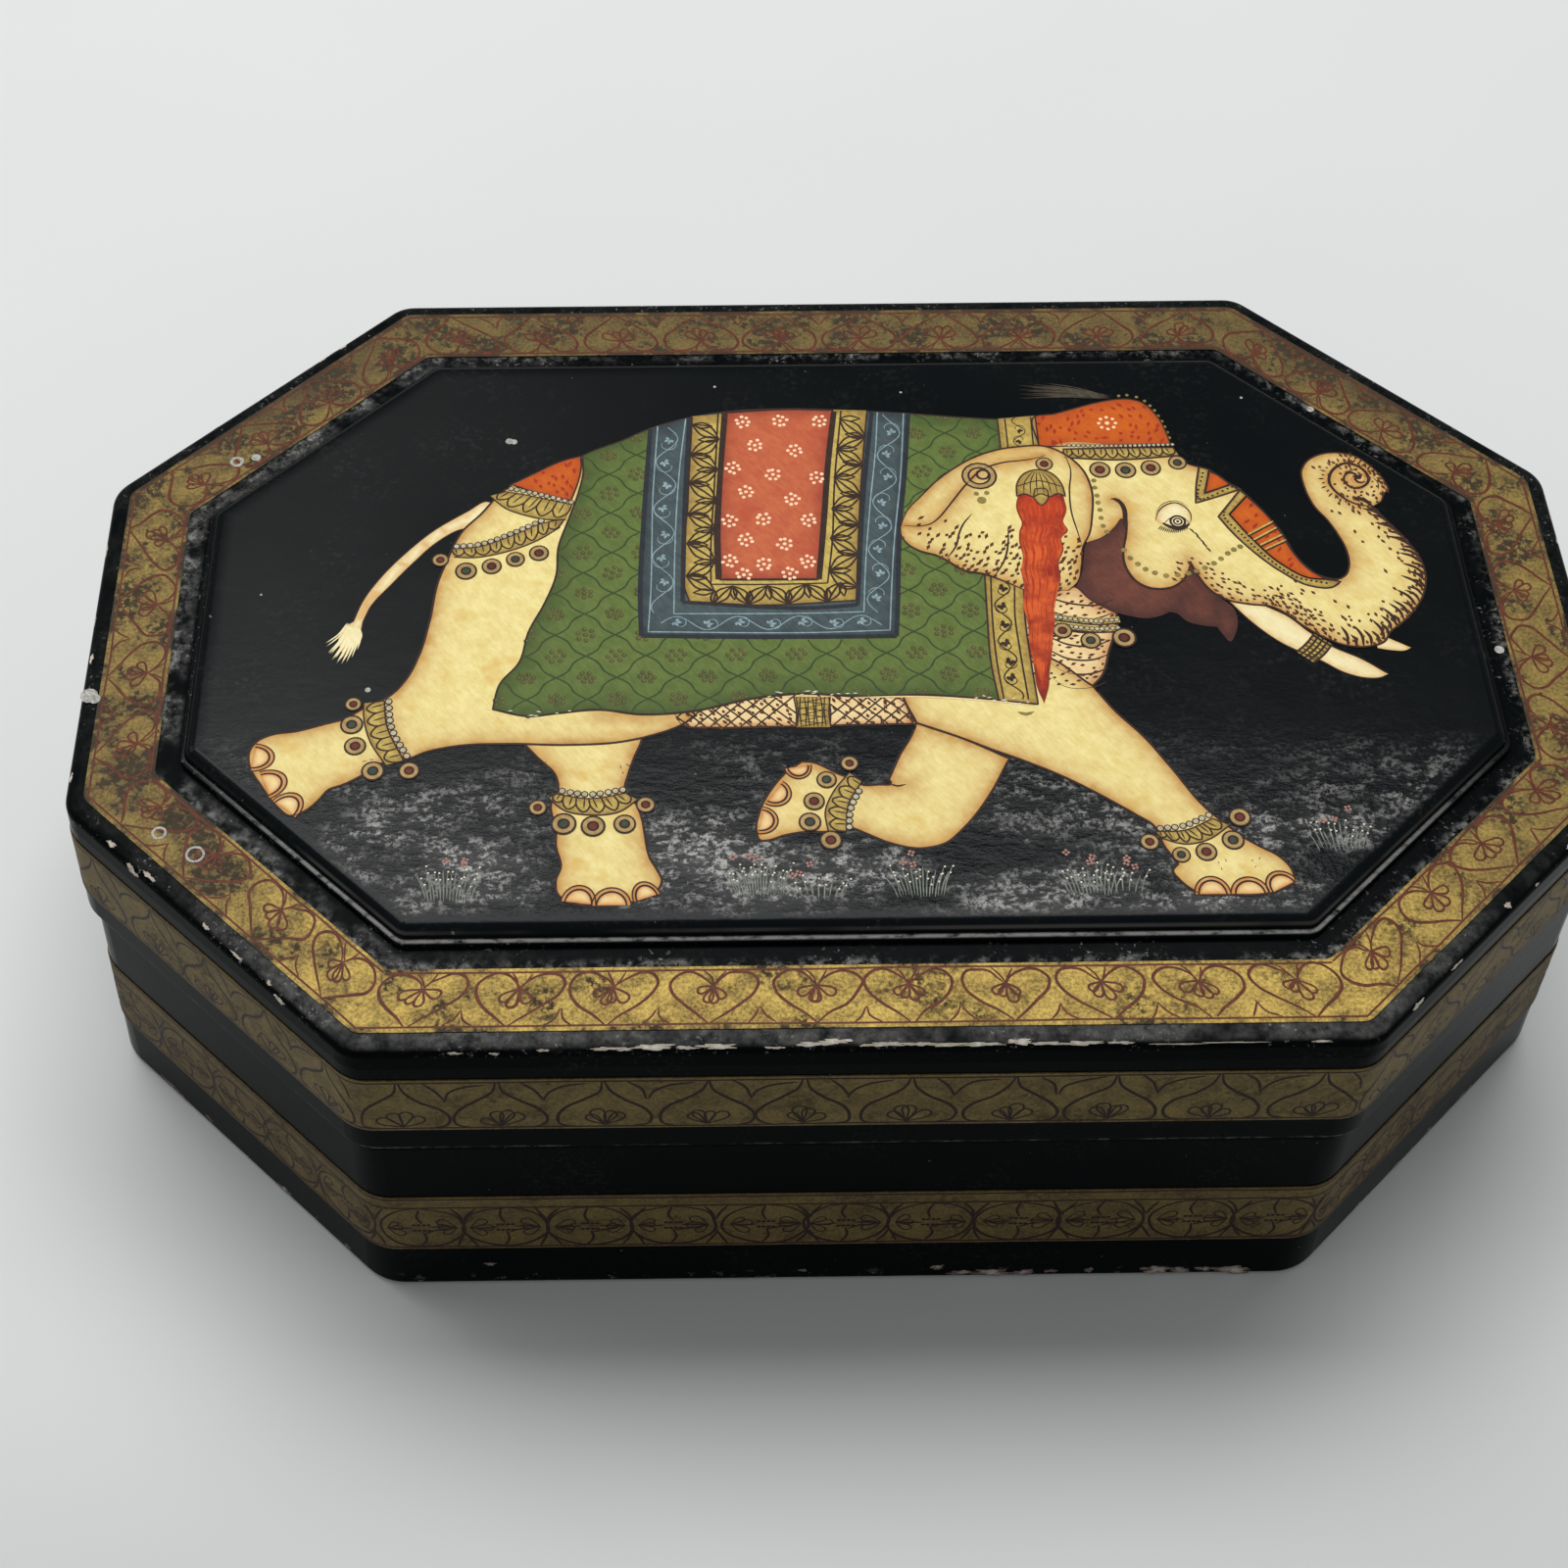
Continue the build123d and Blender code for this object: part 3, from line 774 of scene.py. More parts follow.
paints["nail_shade"].area(
    outline([(54.6, 18.2), (55.2, 18.6), (56, 18.9), (56.3, 18.4), (55.6, 17.6), (54.8, 17.6)], step=0.25),
    HEAD + OVER, mesh=0.4, reach=0.3)

maroon = outline(
    [(31, 12), (30, 13), (29, 11.8), (28, 10.8), (26, 9.8), (25.4, 7.6), (25, 5.6), (24.3, 4)],
    [(25.4, 2.4), (27, 1), (29.4, 0), (31, -0.3), (32.4, 0), (33.4, 0.5)],
    [(34.2, 0.2), (34.8, -0.6), (36.4, -1.3), (37.9, -1.5)],
    [(38.4, -2.6), (38.9, -3.4), (39.8, -2), (40.1, -0.6), (40, 0.6), (38.6, 2.5), (37.2, 4.6), (36.3, 7)],
    [(33, 9), (31, 12)])
paints["maroon_cloth"].area(
    maroon, NEAR, mesh=0.9, reach=1.1,
    folds=[flow([(35.6, 3), (34.6, 1.6), (33.4, 0.5)]), flow([(37.9, 2.6), (38.2, 0), (37.9, -1.5)])])
print("head, trunk and jaw laid")

# %% Tusks
tusk = outline(
    [(39.5, 1.9), (41.2, -0.6), (44, -3.6), (47.6, -5.9), (50, -7.6), (52, -8.2), (53.4, -8.1), (54.1, -7.7)],
    [(51.8, -5.8), (49, -4.1), (47, -2.2), (45.2, -0.2), (43.4, 1), (42, 1.8), (39.5, 1.9)])
far_tusk = outline(
    [(53.6, -4.4), (55, -4.7), (56.4, -4.7), (56.9, -4.4)], [(55.6, -3.6), (54.4, -3), (53.4, -3.2)])
ivory.area(far_tusk, FAR, mesh=0.4, reach=0.3)
ivory.area(tusk, NEAR, mesh=0.6, reach=0.35)
contour(tusk, 0.16, NEAR + OVER)
cap_outline = outline([(45.4, -4.8), (47.5, -2.5)], [(49.1, -3.9)], [(46.9, -6.2)], [(45.4, -4.8)], step=0.3)
leafwork.area(cap_outline, NEAR + 0.006, mesh=0.5, reach=0.4)
for f in between(0, 1, 5):
    a = np.array([45.4, -4.8]) * (1 - f) + np.array([46.9, -6.2]) * f
    b = np.array([47.5, -2.5]) * (1 - f) + np.array([49.1, -3.9]) * f
    trace([a, (a + b) / 2 + (0.1, -0.1), b], 0.24, NEAR + 0.006 + OVER, taper=0.2)
for f in between(0.1, 0.9, 6):
    a = np.array([45.4, -4.8]) * (1 - f) + np.array([47.5, -2.5]) * f
    trace([a, a + (0.8, -0.7), a + (1.55, -1.4)], 0.16, NEAR + 0.006 + OVER, taper=0.2)
print("tusks laid")

# %% Eye
eye_arch = [(33.5, 12.6), (33.7, 13.6), (34.6, 14.7), (35.8, 15.1), (36.8, 14.4), (37.2, 13.4), (37, 12.3)]
eye_white = outline(eye_arch, [(37, 12.3), (35.6, 11.6), (34.2, 12), (33.5, 12.6)], step=0.25)
almond_top = [(34.2, 12.2), (34.9, 12.9), (35.6, 13.3), (36.3, 13.1), (36.9, 12.2)]
almond_foot = [(36.9, 12.2), (36.3, 11.7), (35.6, 11.5), (34.8, 11.8), (34.1, 12.3)]
iris = (35.7, 12.5)
ivory.area(eye_white, HEAD + 0.002, mesh=0.5, reach=0.25)
trace([(33.4, 12.6), *eye_arch[1:]], 0.17, HEAD + OVER, taper=0.7)
trace([(33.5, 13.6), (34.4, 14.9), (35.9, 15.35), (37.1, 14.5)], 0.1, HEAD + OVER, taper=0.9)
trace(almond_top, 0.12, HEAD + OVER, taper=0.6)
trace(almond_foot, 0.46, HEAD + OVER, taper=0.6)
ivory.dots([iris], 0.82, HEAD + OVER + 0.004, sides=20, height=0.004)
ink.rings([iris, iris], [0.88, 0.52], [0.62, 0.3], HEAD + 2 * OVER, height=0.004)
ink.dots([iris], 0.22, HEAD + 2 * OVER, sides=10, height=0.006)
for n in range(16):
    root = np.array([34.0 + 0.17 * n, 12.0 - 0.5 * math.sin(n / 15 * math.pi)])
    trace([root, root + (0.02 * n - 0.28, -0.35), root + (0.04 * n - 0.5, -0.62)], 0.13, HEAD + OVER,
          taper=0.9, step=0.2)
for x, y in ((37.1, 11.2), (37.5, 10.7), (37.7, 10.2), (38, 9.7), (38.2, 9.2), (38.5, 8.6)):
    trace(
        [(x - 0.35, y + 0.35), (x - 0.1, y + 0.1), (x + 0.1, y - 0.3)], 0.2, HEAD + OVER, taper=0.9, step=0.2)
print("eye drawn")

# %% Ear
ear_top = [(6.9, 12.1), (7.3, 13.4), (8, 14.8), (9, 16), (11, 18.4), (13, 20.2), (15, 21.6), (17.2, 22.6),
           (20, 23.2), (23, 23.2), (25.2, 21.8), (26.6, 19.8), (27.2, 17.4), (26.9, 13.4), (26.3, 10.8),
           (25.5, 9.2), (25.1, 6.8), (24.4, 4.4), (23.4, 3.4)]
ear_under = [(23.4, 3.4), (21, 3.6), (18.9, 3.6)]
ear_low = [(18.9, 3.6), (17, 4.7), (15, 5.7), (13, 6.2), (12.2, 6.8), (11.3, 7.6), (10.4, 8.2), (8.6, 8.9),
           (7.5, 9.8), (6.9, 11), (6.9, 12.1)]
ear = outline(ear_top, ear_under, ear_low)
roll = [(7.3, 12.3), (8.6, 12.2), (10, 12.5), (11, 13.4), (12, 14.8), (13, 16.3), (14.2, 18), (16, 20),
        (18.4, 21), (20, 21.2), (21.6, 21.5), (22.8, 21.9)]
paints["cream_body"].area(ear, EAR, mesh=0.7, reach=1.1, folds=[flow(roll)])
for stroke, width in (
        (ear_top, 0.24), (ear_low, 0.24), (roll, 0.22),
        ([(24.9, 22), (25.3, 20), (24.9, 17), (24.8, 14), (25.2, 11), (25.4, 9.6)], 0.18),
        ([(14.4, 13.8), (13.4, 12.4), (12.9, 11.2), (12.5, 9.6), (11.4, 7.8)], 0.22),
        ([(18, 11.6), (17.9, 10.2), (17.3, 7.6), (16.1, 5.4)], 0.22)):
    trace(stroke, width, EAR + OVER)
paints["bell_rims"].rings([(15.6, 19.1)], [1.75], [1.2], EAR + OVER, height=0.006)
ink.rings([(15.6, 19.1), (15.6, 19.1)], [1.9, 1.25], [1.68, 1.02], EAR + 2 * OVER, height=0.004)
ink.rings([(16, 19.3)], [0.78], [0.5], EAR + OVER, height=0.004)
paints["chain_beads"].dots([(15.1, 16.6), (16.2, 16.7), (15.6, 15.7)], [0.3, 0.3, 0.52], EAR + OVER)
print("ear laid")

# %% [markdown]
# ## Trappings
#
# The elephant wears an orange cap and rump cloth, bands of gold, rows of pearls, a red
# tassel at the ear, and bells on every band. A bell is a ring of rim colour, a dark
# ink edge and a coloured heart. Bells repeat often, so one function draws them all.

# %% Bells, pearls and beads
def bells(places, lift):
    """Bells from rows of (x, y, radius, heart): an ink disc, on it a rim ring and a coloured heart."""
    for x, y, radius, heart in places:
        ink.dots([(x, y)], radius, lift, sides=18, height=0.004)
        paints["bell_rims"].rings([(x, y)], [radius * 0.83], [radius * 0.5], lift + 0.004, height=0.01)
        paints["bell_hearts_" + heart].dots([(x, y)], radius * 0.3, lift + 0.006, sides=12, height=0.01)


def pearl_row(stroke, pitch, radius, lift):
    """Pearls at even steps along a stroke, each on an ink dot of a slightly larger size."""
    path = flow(stroke, 0.1)
    _, _, along = walk(path)
    centres = path[np.searchsorted(along, np.arange(pitch / 2, along[-1], pitch)).clip(0, len(path) - 1)]
    ink.dots(centres, radius * 1.3, lift, height=0.004)
    paints["pearls"].dots(centres, radius * 0.88, lift + 0.005, sides=9)


bells([(-40.6, 8.3, 0.9, "red"), (-37.9, 6.8, 1.15, "green"), (-35.3, 7.4, 1.05, "red"),
       (-32.9, 8.3, 1, "green"), (-30.5, 9.1, 1.05, "red"), (-48.3, -10.1, 0.85, "red"),
       (-48.3, -12.6, 1.15, "green"), (-47.8, -15.2, 1.1, "red"), (-45.9, -18.2, 1.15, "green"),
       (-42.4, -18.2, 1.05, "red"), (-29.9, -22.7, 0.9, "red"), (-19.6, -22.5, 0.95, "red"),
       (-27.4, -24.6, 1.25, "green"), (-24.6, -24.9, 1.2, "red"), (-21.6, -24.7, 1.1, "green"),
       (0.1, -17.9, 0.9, "red"), (-2.2, -19.8, 1, "green"), (-3.5, -22.3, 1.05, "red"),
       (-4, -24.7, 1.1, "green"), (-2.1, -26.8, 1.1, "red"), (28, -27.4, 0.95, "red"),
       (30.8, -28.9, 0.9, "green"), (33.2, -28.6, 1.05, "red"), (35.9, -27.3, 1.1, "green"),
       (36.9, -24.7, 1.1, "red"), (22.6, 20.7, 0.95, "red"), (28.4, 19.8, 1.15, "red"),
       (31.1, 19.7, 1.15, "green"), (33.8, 20, 1.1, "red"), (36.7, 20.7, 1, "green"), (22.3, -1.8, 1, "red"),
       (25, -3.1, 1.05, "green"), (28.4, -2.8, 1.25, "red")], BELL)
pearl_row([(-34, 18.1), (-31, 17.3), (-27.2, 16)], 0.66, 0.27, DRESS + OVER)
pearl_row([(-39.4, 10.1), (-36.6, 10.4), (-33.4, 11.8), (-30.2, 13.6)], 0.72, 0.3, DRESS + OVER)
pearl_row([(-44.9, -9.4), (-44.4, -13), (-42.6, -16.7)], 0.78, 0.32, DRESS)
pearl_row([(-28, -20.7), (-25, -21.2), (-21.8, -20.7)], 0.74, 0.3, DRESS)
pearl_row([(1, -20.8), (-0.1, -23.4), (-0.3, -25.6)], 0.72, 0.3, DRESS)
pearl_row([(28.8, -25.9), (31.4, -25.6), (34, -24.4)], 0.72, 0.3, DRESS)
pearl_row([(25.2, 23.35), (30, 23.2), (36.6, 23.3)], 0.5, 0.2, HEAD + 3 * OVER)
chain = paints["chain_beads"]
chain.dots([(31.6, 30.5), (32.5, 30.6), (33.5, 30.3), (34.3, 29.7), (34.8, 29), (35.2, 28.3), (35.5, 27.5),
            (35.8, 26.7), (36, 25.9), (36.2, 25.1), (36.3, 24.3)], 0.19, DRESS)
chain.dots([(27.6, 18.3), (27.6, 17.3), (27.7, 16.2), (27.7, 15.2), (27.8, 14.2), (27.8, 13.1), (27.9, 12),
            (28.2, 11.2)], 0.3, HEAD + OVER)
chain.dots([(29.7, 8.7), (30.2, 7.6), (30.9, 6.8), (31.6, 6.1), (32.5, 5.6), (33.6, 5.2), (34.8, 5.3),
            (35.9, 5.5), (36.8, 5.8), (37.7, 6.2), (38.7, 6.8), (39.5, 7.4), (40.3, 8.1), (41, 8.6),
            (41.7, 9)], 0.33, HEAD + OVER)
print("bells, pearls and beads strung")

# %% Gold bands of the rump and the ankles
def gold_band(outer, inner, lift, petals=0, edge=0.16):
    """A band between two strokes with inked edges. Its petals are U shapes that stand on the inner edge."""
    a, b = flow(outer), flow(inner)
    leafwork.area(np.vstack([a, b[::-1]]), lift, mesh=0.7, reach=0.35)
    ink.line(a, edge, lift + OVER, taper=0.1)
    ink.line(b, edge, lift + OVER, taper=0.1)
    for n in range(petals):
        shares = np.array([n, n + 0.5, n + 1]) / petals
        (a0, a1, a2), (b0, b1, b2) = (path[(shares * (len(path) - 1)).astype(int)] for path in (a, b))
        tip, rib = a1 * 0.86 + b1 * 0.14, a1 * 0.6 + b1 * 0.4
        first, last = b0 * 0.45 + a0 * 0.45 + tip * 0.1, b2 * 0.45 + a2 * 0.45 + tip * 0.1
        trace([b0, first, tip, last, b2], 0.2, lift + OVER, taper=0.3)
        trace([b1, (b1 + rib) / 2, rib], 0.16, lift + OVER, taper=0.6)


rump_cloth = outline([(-26.4, 22.5), (-26.3, 21.2), (-26.5, 19.4), (-27.3, 16.3)],
                     [(-29, 16.7), (-31, 17.4), (-33.6, 18.6)], [(-31.4, 20), (-28.2, 21.9), (-26.4, 22.5)])
orange.area(rump_cloth, BAND, mesh=0.8, reach=0.7)
contour(rump_cloth, 0.18, BAND + OVER)
gold_band([(-35.8, 17), (-34, 15.2), (-31.8, 14.2), (-30, 13.7), (-27.8, 13.6)],
          [(-34.2, 17.6), (-32, 17.1), (-29.6, 16.4), (-27.2, 15.7)], RUMP, petals=5)
gold_band([(-39.2, 8.7), (-37.2, 8.6), (-34, 9.3), (-30.6, 10.9), (-28.4, 12.6)],
          [(-39.5, 9.8), (-36.6, 10.1), (-33.4, 11.5), (-30.2, 13.2), (-28, 13.7)], RUMP, petals=9)
gold_band([(-47.3, -10), (-47.2, -11.6), (-46.4, -14.6), (-44.7, -17.5)],
          [(-45.3, -9.7), (-44.9, -12.6), (-43, -17)], ANKLE, petals=5)
gold_band([(-28.9, -21.6), (-27.4, -23), (-24.8, -23.6), (-22, -23.2), (-20.4, -21.9)],
          [(-28.2, -21.1), (-25, -21.7), (-21.5, -21.1)], ANKLE, petals=6)
gold_band([(0, -19), (-1.6, -21.2), (-2.5, -23.6), (-2.3, -25.7)], [(1.2, -20), (-0.2, -22.6), (-0.6, -25.8)],
          ANKLE, petals=5)
gold_band([(28.9, -26.9), (31.4, -27.7), (33.6, -27.2), (35.8, -25.6)],
          [(28.7, -26.2), (31.5, -26.1), (34.3, -24.8)], ANKLE, petals=6)
print("gold bands laid")

# %% Cap, brow band and neck band
cap = outline([(22.3, 23.2), (22.3, 27.6), (24.2, 27.9), (26.6, 28.7), (29, 29.5), (31.4, 30), (32.6, 30),
               (33.8, 29.6), (35.2, 27.8), (36.1, 24.8), (36.3, 23.4)], [(30, 23.3), (22.3, 23.2)])
orange.area(cap, CAP, mesh=0.9, reach=1.0)
contour(cap, 0.18, CAP + OVER)
gold_band([(24.8, 21.6), (30, 21.2), (37, 21.7)], [(24.8, 22.8), (30, 22.9), (36.5, 22.9)], HEAD + OVER,
          petals=10, edge=0.24)
leafwork.area(outline([(18.2, 22.8), (18.2, 27.3)], [(22.2, 27.7)], [(22.2, 22.9)], [(18.2, 22.8)]),
              NECK_BAND, mesh=0.8, reach=0.5)
for stroke in ([(18.2, 23), (18.2, 27.3)], [(19, 23.1), (19, 27.3)], [(21.7, 23.1), (21.8, 27.5)],
               [(22.3, 23), (22.3, 27.7)]):
    trace(stroke, 0.17, NECK_BAND + OVER, taper=0.1)
vine([(20.3, 23.2), (20.4, 27.5)], 3.0, 0.7, 0.12, NECK_BAND + OVER, ink, leaf=0.6)
cap_flower = np.array([29.9, 26.5])
around = np.arange(8) * 2 * math.pi / 8
petals = cap_flower + np.column_stack([0.9 * np.cos(around), 0.85 * np.sin(around)])
paints["salmon_flowers"].dots(petals, 0.2, CAP + OVER)
paints["salmon_flowers"].dots([cap_flower], 0.26, CAP + OVER)
for n in range(18):
    start = (20.8 + 0.8 * (n * 7 % 5), 30.3 + 0.13 * n)
    end = (30.0 + 0.2 * (n * 3 % 5), 30.1 + 0.03 * n)
    arched = ((start[0] + end[0]) / 2, (start[1] + end[1]) / 2 + 0.25)
    paints["plume_hairs"].line(flow([start, arched, end]), 0.1, NEAR, taper=0.97)

gold_v = outline([(38.9, 20.1), (38.3, 17.6), (37.9, 15)], [(40.4, 15.9), (42.9, 16.9)], [(41.9, 17.6)],
                 [(40.6, 17), (39, 16.3)], [(39.5, 18), (39.9, 19.7)], [(38.9, 20.1)], step=0.3)
brow_cloth = outline([(39.9, 19.4), (39, 16.4)], [(41.9, 17.5)], [(40.6, 19), (39.9, 19.4)], step=0.3)
strip = [(42.8, 16.8), (40, 13.1), (41, 11.2), (43.2, 8), (45.4, 5.6), (48, 3.7), (50.4, 3.5), (51.3, 4.2)]
strip_inner = [(43.4, 16), (41.2, 13.4), (43, 10.2), (45.6, 6.6), (48.2, 4.7), (49.9, 4.5)]
leafwork.area(gold_v, HEAD + OVER, mesh=0.5, reach=0.3)
orange.area(brow_cloth, HEAD + OVER, mesh=0.5, reach=0.4)
gold_strip = outline(strip[:2], strip[1:], [(51.3, 4.2), (49.9, 4.5)], strip_inner[:0:-1], strip_inner[1::-1],
                     [(43.4, 16), (42.8, 16.8)], step=0.3)
face_cloth = outline(strip_inner[:2], strip_inner[1:],
                     [(49.9, 4.5), (49, 5.2), (47.2, 7.8), (46.5, 10), (45.2, 13), (43.4, 16)], step=0.3)
orange.area(face_cloth, HEAD + OVER, mesh=0.6, reach=0.5)
leafwork.area(gold_strip, HEAD + OVER + 0.004, mesh=0.5, reach=0.3)
for loop in (gold_v, brow_cloth, gold_strip, face_cloth):
    contour(loop, 0.22, HEAD + 2 * OVER)
for dotted in ([(42.1, 15.9), (40.6, 13.3), (42, 10.8), (44.4, 7.3), (46.8, 4.9), (49.8, 4)],
               [(39.2, 19.2), (38.3, 15.6), (42, 17.2)]):
    ink.dots(flow(dotted, 0.5), 0.15, HEAD + 2 * OVER, sides=6, height=0.004)
for start, end in (((42.7, 10.6), (45.6, 12.4)), ((43.2, 9.9), (45.9, 11.6)), ((43.8, 9.2), (46.3, 10.6)),
                   ((44.2, 8.6), (46.6, 9.9))):
    leafwork.line(flow([start, end]), 0.2, HEAD + 2 * OVER, taper=0.1)
    trace([(start[0], start[1] - 0.25), (end[0], end[1] - 0.25)], 0.2, HEAD + 2 * OVER, taper=0.1)
print("cap, brow and neck trappings laid")

# %% Front band of the cloth, girth and collar
leafwork.area(front_band, BAND, mesh=0.9, reach=0.5)
for stroke in (
        [(15.1, 6), (14.9, 0), (14.8, -6), (15.2, -10.6)],
        [(15.7, 5.6), (15.4, 0), (15.4, -6), (15.7, -10.4)], [(18, 4), (17.7, 0), (17.8, -4), (18.1, -10.4)],
        [(18.9, 3.6), (18.7, 0), (18.8, -6), (19, -11)]):
    trace(stroke, 0.19, BAND + OVER, taper=0.1)
vine([(16.8, 5), (16.5, 0), (16.6, -5), (16.9, -10.4)], 4.6, 0.8, 0.17, BAND + OVER, ink, leaf=0.95)
gold_band([(-5, -9.7), (-4.8, -11.6), (-4.9, -13.5)], [(-1.4, -9.8), (-1.6, -11.6), (-1.5, -13.5)],
          NEAR + OVER + 0.002)
for n in range(9):
    x = -4.75 + 0.4 * n
    trace([(x, -9.8), (x + 0.12 * (-1) ** n, -11.6), (x, -13.4)], 0.15, NEAR + 3 * OVER, taper=0.4)
    left, right, fall = (-9.9, -10.3, 0.4) if n % 2 else (-10.6, -9.9, 0.36)
    trace([(-4.7, left - fall * n), (-1.7, right - fall * n)], 0.1, NEAR + 3 * OVER)
girth_from, girth_to = -5.2, -1.2
for lean in (-1, 1):
    for n in range(-4, 22):
        slope = np.column_stack([between(0, 4.4, 30) * lean + n * 1.5 - 18, between(-9.2, -13.4, 30)])
        for part in cut_to(slope, belly):
            if not girth_from < part[:, 0].mean() < girth_to:
                ink.line(part, 0.18, NEAR - 0.004 + OVER, taper=0.2)
for stroke in ([(20.4, 0.3), (23, -0.2), (26, -0.6), (28.2, -0.4)],
               [(20.4, -0.6), (23, -1.2), (26, -1.6), (28, -1.5)]):
    leafwork.line(flow(stroke), 0.8, NEAR + OVER, taper=0.1)
    pearl_row(stroke, 0.52, 0.24, NEAR + 2 * OVER)
    trace([(x, y - 0.45) for x, y in stroke], 0.2, NEAR + 2 * OVER, taper=0.1)
for n in range(7):
    y = 2.2 - 1.75 * n
    trace([(27.9 - 0.3 * n, y), (26.2 - 0.3 * n, y - 0.7), (23.6 - 0.3 * n, y - 0.5), (20.6, y + 0.7)], 0.22,
          NEAR - 0.004 + OVER)
print("front band, girth and collar laid")

# %% Red tassel with its gold cap
tassel_left = [(19.4, 16.2), (19.1, 14.8), (19.3, 13.4), (19.5, 12.6), (19.1, 11.2), (19, 10), (19.2, 8),
               (18.9, 6), (19.1, 4), (18.8, 1.5), (19, -1), (18.8, -3.5), (19, -6), (19.1, -9), (19.6, -10.9)]
tassel_right = [
    (19.6, -10.9), (20.3, -8.6), (20.5, -7), (20.9, -5), (21.2, -3), (21.6, -1), (21.7, 1), (22.2, 3),
    (22.8, 5), (22.8, 7), (23.5, 9), (23.4, 10.4), (24.2, 11.4), (23.8, 12.6), (24.3, 14), (24.2, 16.2)]
paints["red_tassel"].area(outline(tassel_left, tassel_right, [(24.2, 16.2), (21.8, 16.8), (19.4, 16.2)]),
                          TASSEL, mesh=0.7, reach=0.4)
strand_left, strand_right = flow(tassel_left), flow(tassel_right[::-1])
for n in range(20):
    f = (n + 0.6) / 20.5
    run = between(0.02, 0.93 - 0.25 * abs(f - 0.45), 40)
    a = strand_left[(run * (len(strand_left) - 1)).astype(int)]
    b = strand_right[(run * (len(strand_right) - 1)).astype(int)]
    twist = np.outer(0.22 * np.sin(run * (9 + n % 4) + n * 1.7) * (1 - run), (1.0, 0.0))
    paints["tassel_streaks"].line(
        a * (1 - f) + b * f + twist, 0.16 if n % 3 else 0.26, TASSEL + OVER, taper=0.8)
dome = outline([(19.3, 16.2), (19.5, 18), (20.3, 19.3), (21.8, 19.9), (23.2, 19.4), (24.1, 18), (24.4, 16.1)],
               [(23.6, 16.5), (22.8, 16.1), (21.8, 16.5), (21, 16.1), (20.2, 16.5), (19.3, 16.2)], step=0.3)
leafwork.area(dome, TASSEL + OVER, mesh=0.6, reach=0.9)
contour(dome, 0.18, TASSEL + 2 * OVER)
for f in between(0.15, 0.85, 6):
    x = 19.3 + 5.1 * f
    trace([(21.8 + (x - 21.8) * 0.3, 19.6), (21.8 + (x - 21.8) * 0.85, 18.2), (x, 16.4)], 0.12,
          TASSEL + 2 * OVER)
trace([(19.5, 17.6), (21.8, 18.3), (24.1, 17.5)], 0.14, TASSEL + 2 * OVER, taper=0.2)
leaf = outline(
    [(21.3, 17.2), (21.1, 15.9), (21.8, 14.9), (22.5, 15.7), (22.4, 17.2), (21.3, 17.2)], step=0.25)
leafwork.area(leaf, TASSEL + 2 * OVER, mesh=0.4, reach=0.6)
contour(leaf, 0.14, TASSEL + 3 * OVER)
print("tassel laid")

# %% [markdown]
# ## Specks, dashes and tufts of grass
#
# The painter stipples the trunk, the neck, the belly and the lower ear with the tip of
# the brush, flecks the orange cloths with dark dashes, and sets a few tufts of grass in
# front. Each is a jittered grid or a fan of short strokes, with a seeded random source,
# so that every run draws the same ones.

# %% Stipple and grass
random = np.random.default_rng(11)


def scatter(loop, pitch, jitter=0.35):
    """Points inside a loop on a hexagonal grid, each moved a little at random."""
    low_corner, high_corner = loop.min(axis=0), loop.max(axis=0)
    gx, gy = np.meshgrid(np.arange(low_corner[0], high_corner[0], pitch),
                         np.arange(low_corner[1], high_corner[1], pitch * 0.87))
    gx = gx + np.where(np.arange(gx.shape[0]) % 2, pitch / 2, 0.0)[:, None]
    points = np.column_stack([gx.ravel(), gy.ravel()])
    points = points + random.uniform(-jitter, jitter, points.shape) * pitch
    return points[inside(points, loop)]


def flecks(paint, centres, length, width, angle, lift):
    """Short tapered dashes: each a thin four-sided lens along its angle, with a raised middle."""
    centres = np.asarray(centres)
    angle = np.broadcast_to(angle, len(centres)) + random.uniform(-0.35, 0.35, len(centres))
    length = length * random.uniform(0.6, 1.3, len(centres))
    way = np.stack([np.cos(angle), np.sin(angle)], -1)
    side = np.stack([-way[:, 1], way[:, 0]], -1)
    reach = (length / 2)[:, None]
    flat = np.stack([centres - way * reach, centres - side * width / 2, centres + way * reach,
                     centres + side * width / 2, centres], axis=1)
    rise = np.zeros(flat.shape[:2])
    rise[:, 4] = 0.012
    faces = np.array([[0, 1, 4], [1, 2, 4], [2, 3, 4], [3, 0, 4]])
    faces = (faces[None] + (np.arange(len(centres)) * 5)[:, None, None]).reshape(-1, 3)
    paint.add(on_picture(flat[..., 0], flat[..., 1], lift + rise), faces, 0.0)


specks = paints["ink_specks"]
trunk_skin = scatter(head, 0.66)
from_outer = distance_to(trunk_skin, [flow(list(trunk_front[:15])), flow(brow[23:])])
chance = np.exp(-from_outer / 1.5) * 1.2 * (trunk_skin[:, 0] > 43)
flecks(specks, trunk_skin[random.uniform(0, 1, len(chance)) < chance], 0.66, 0.36, 1.9, HEAD + OVER)
curl_skin = scatter(head, 0.72)
flecks(specks, curl_skin[np.linalg.norm(curl_skin - (54.9, 18), axis=1) < 2.9][::2], 0.42, 0.32, 1.0,
       HEAD + OVER)
cheek = scatter(head, 0.8)
under = distance_to(cheek, [flow(list(trunk_front[12:20]))])
flecks(specks, cheek[(under < 2.6) & (cheek[:, 0] < 49)], 0.66, 0.34, 2.4, HEAD + OVER)
ear_skin = scatter(ear, 0.82)
ear_chance = np.clip((13.0 - ear_skin[:, 1]) / 4.5, 0, 1)
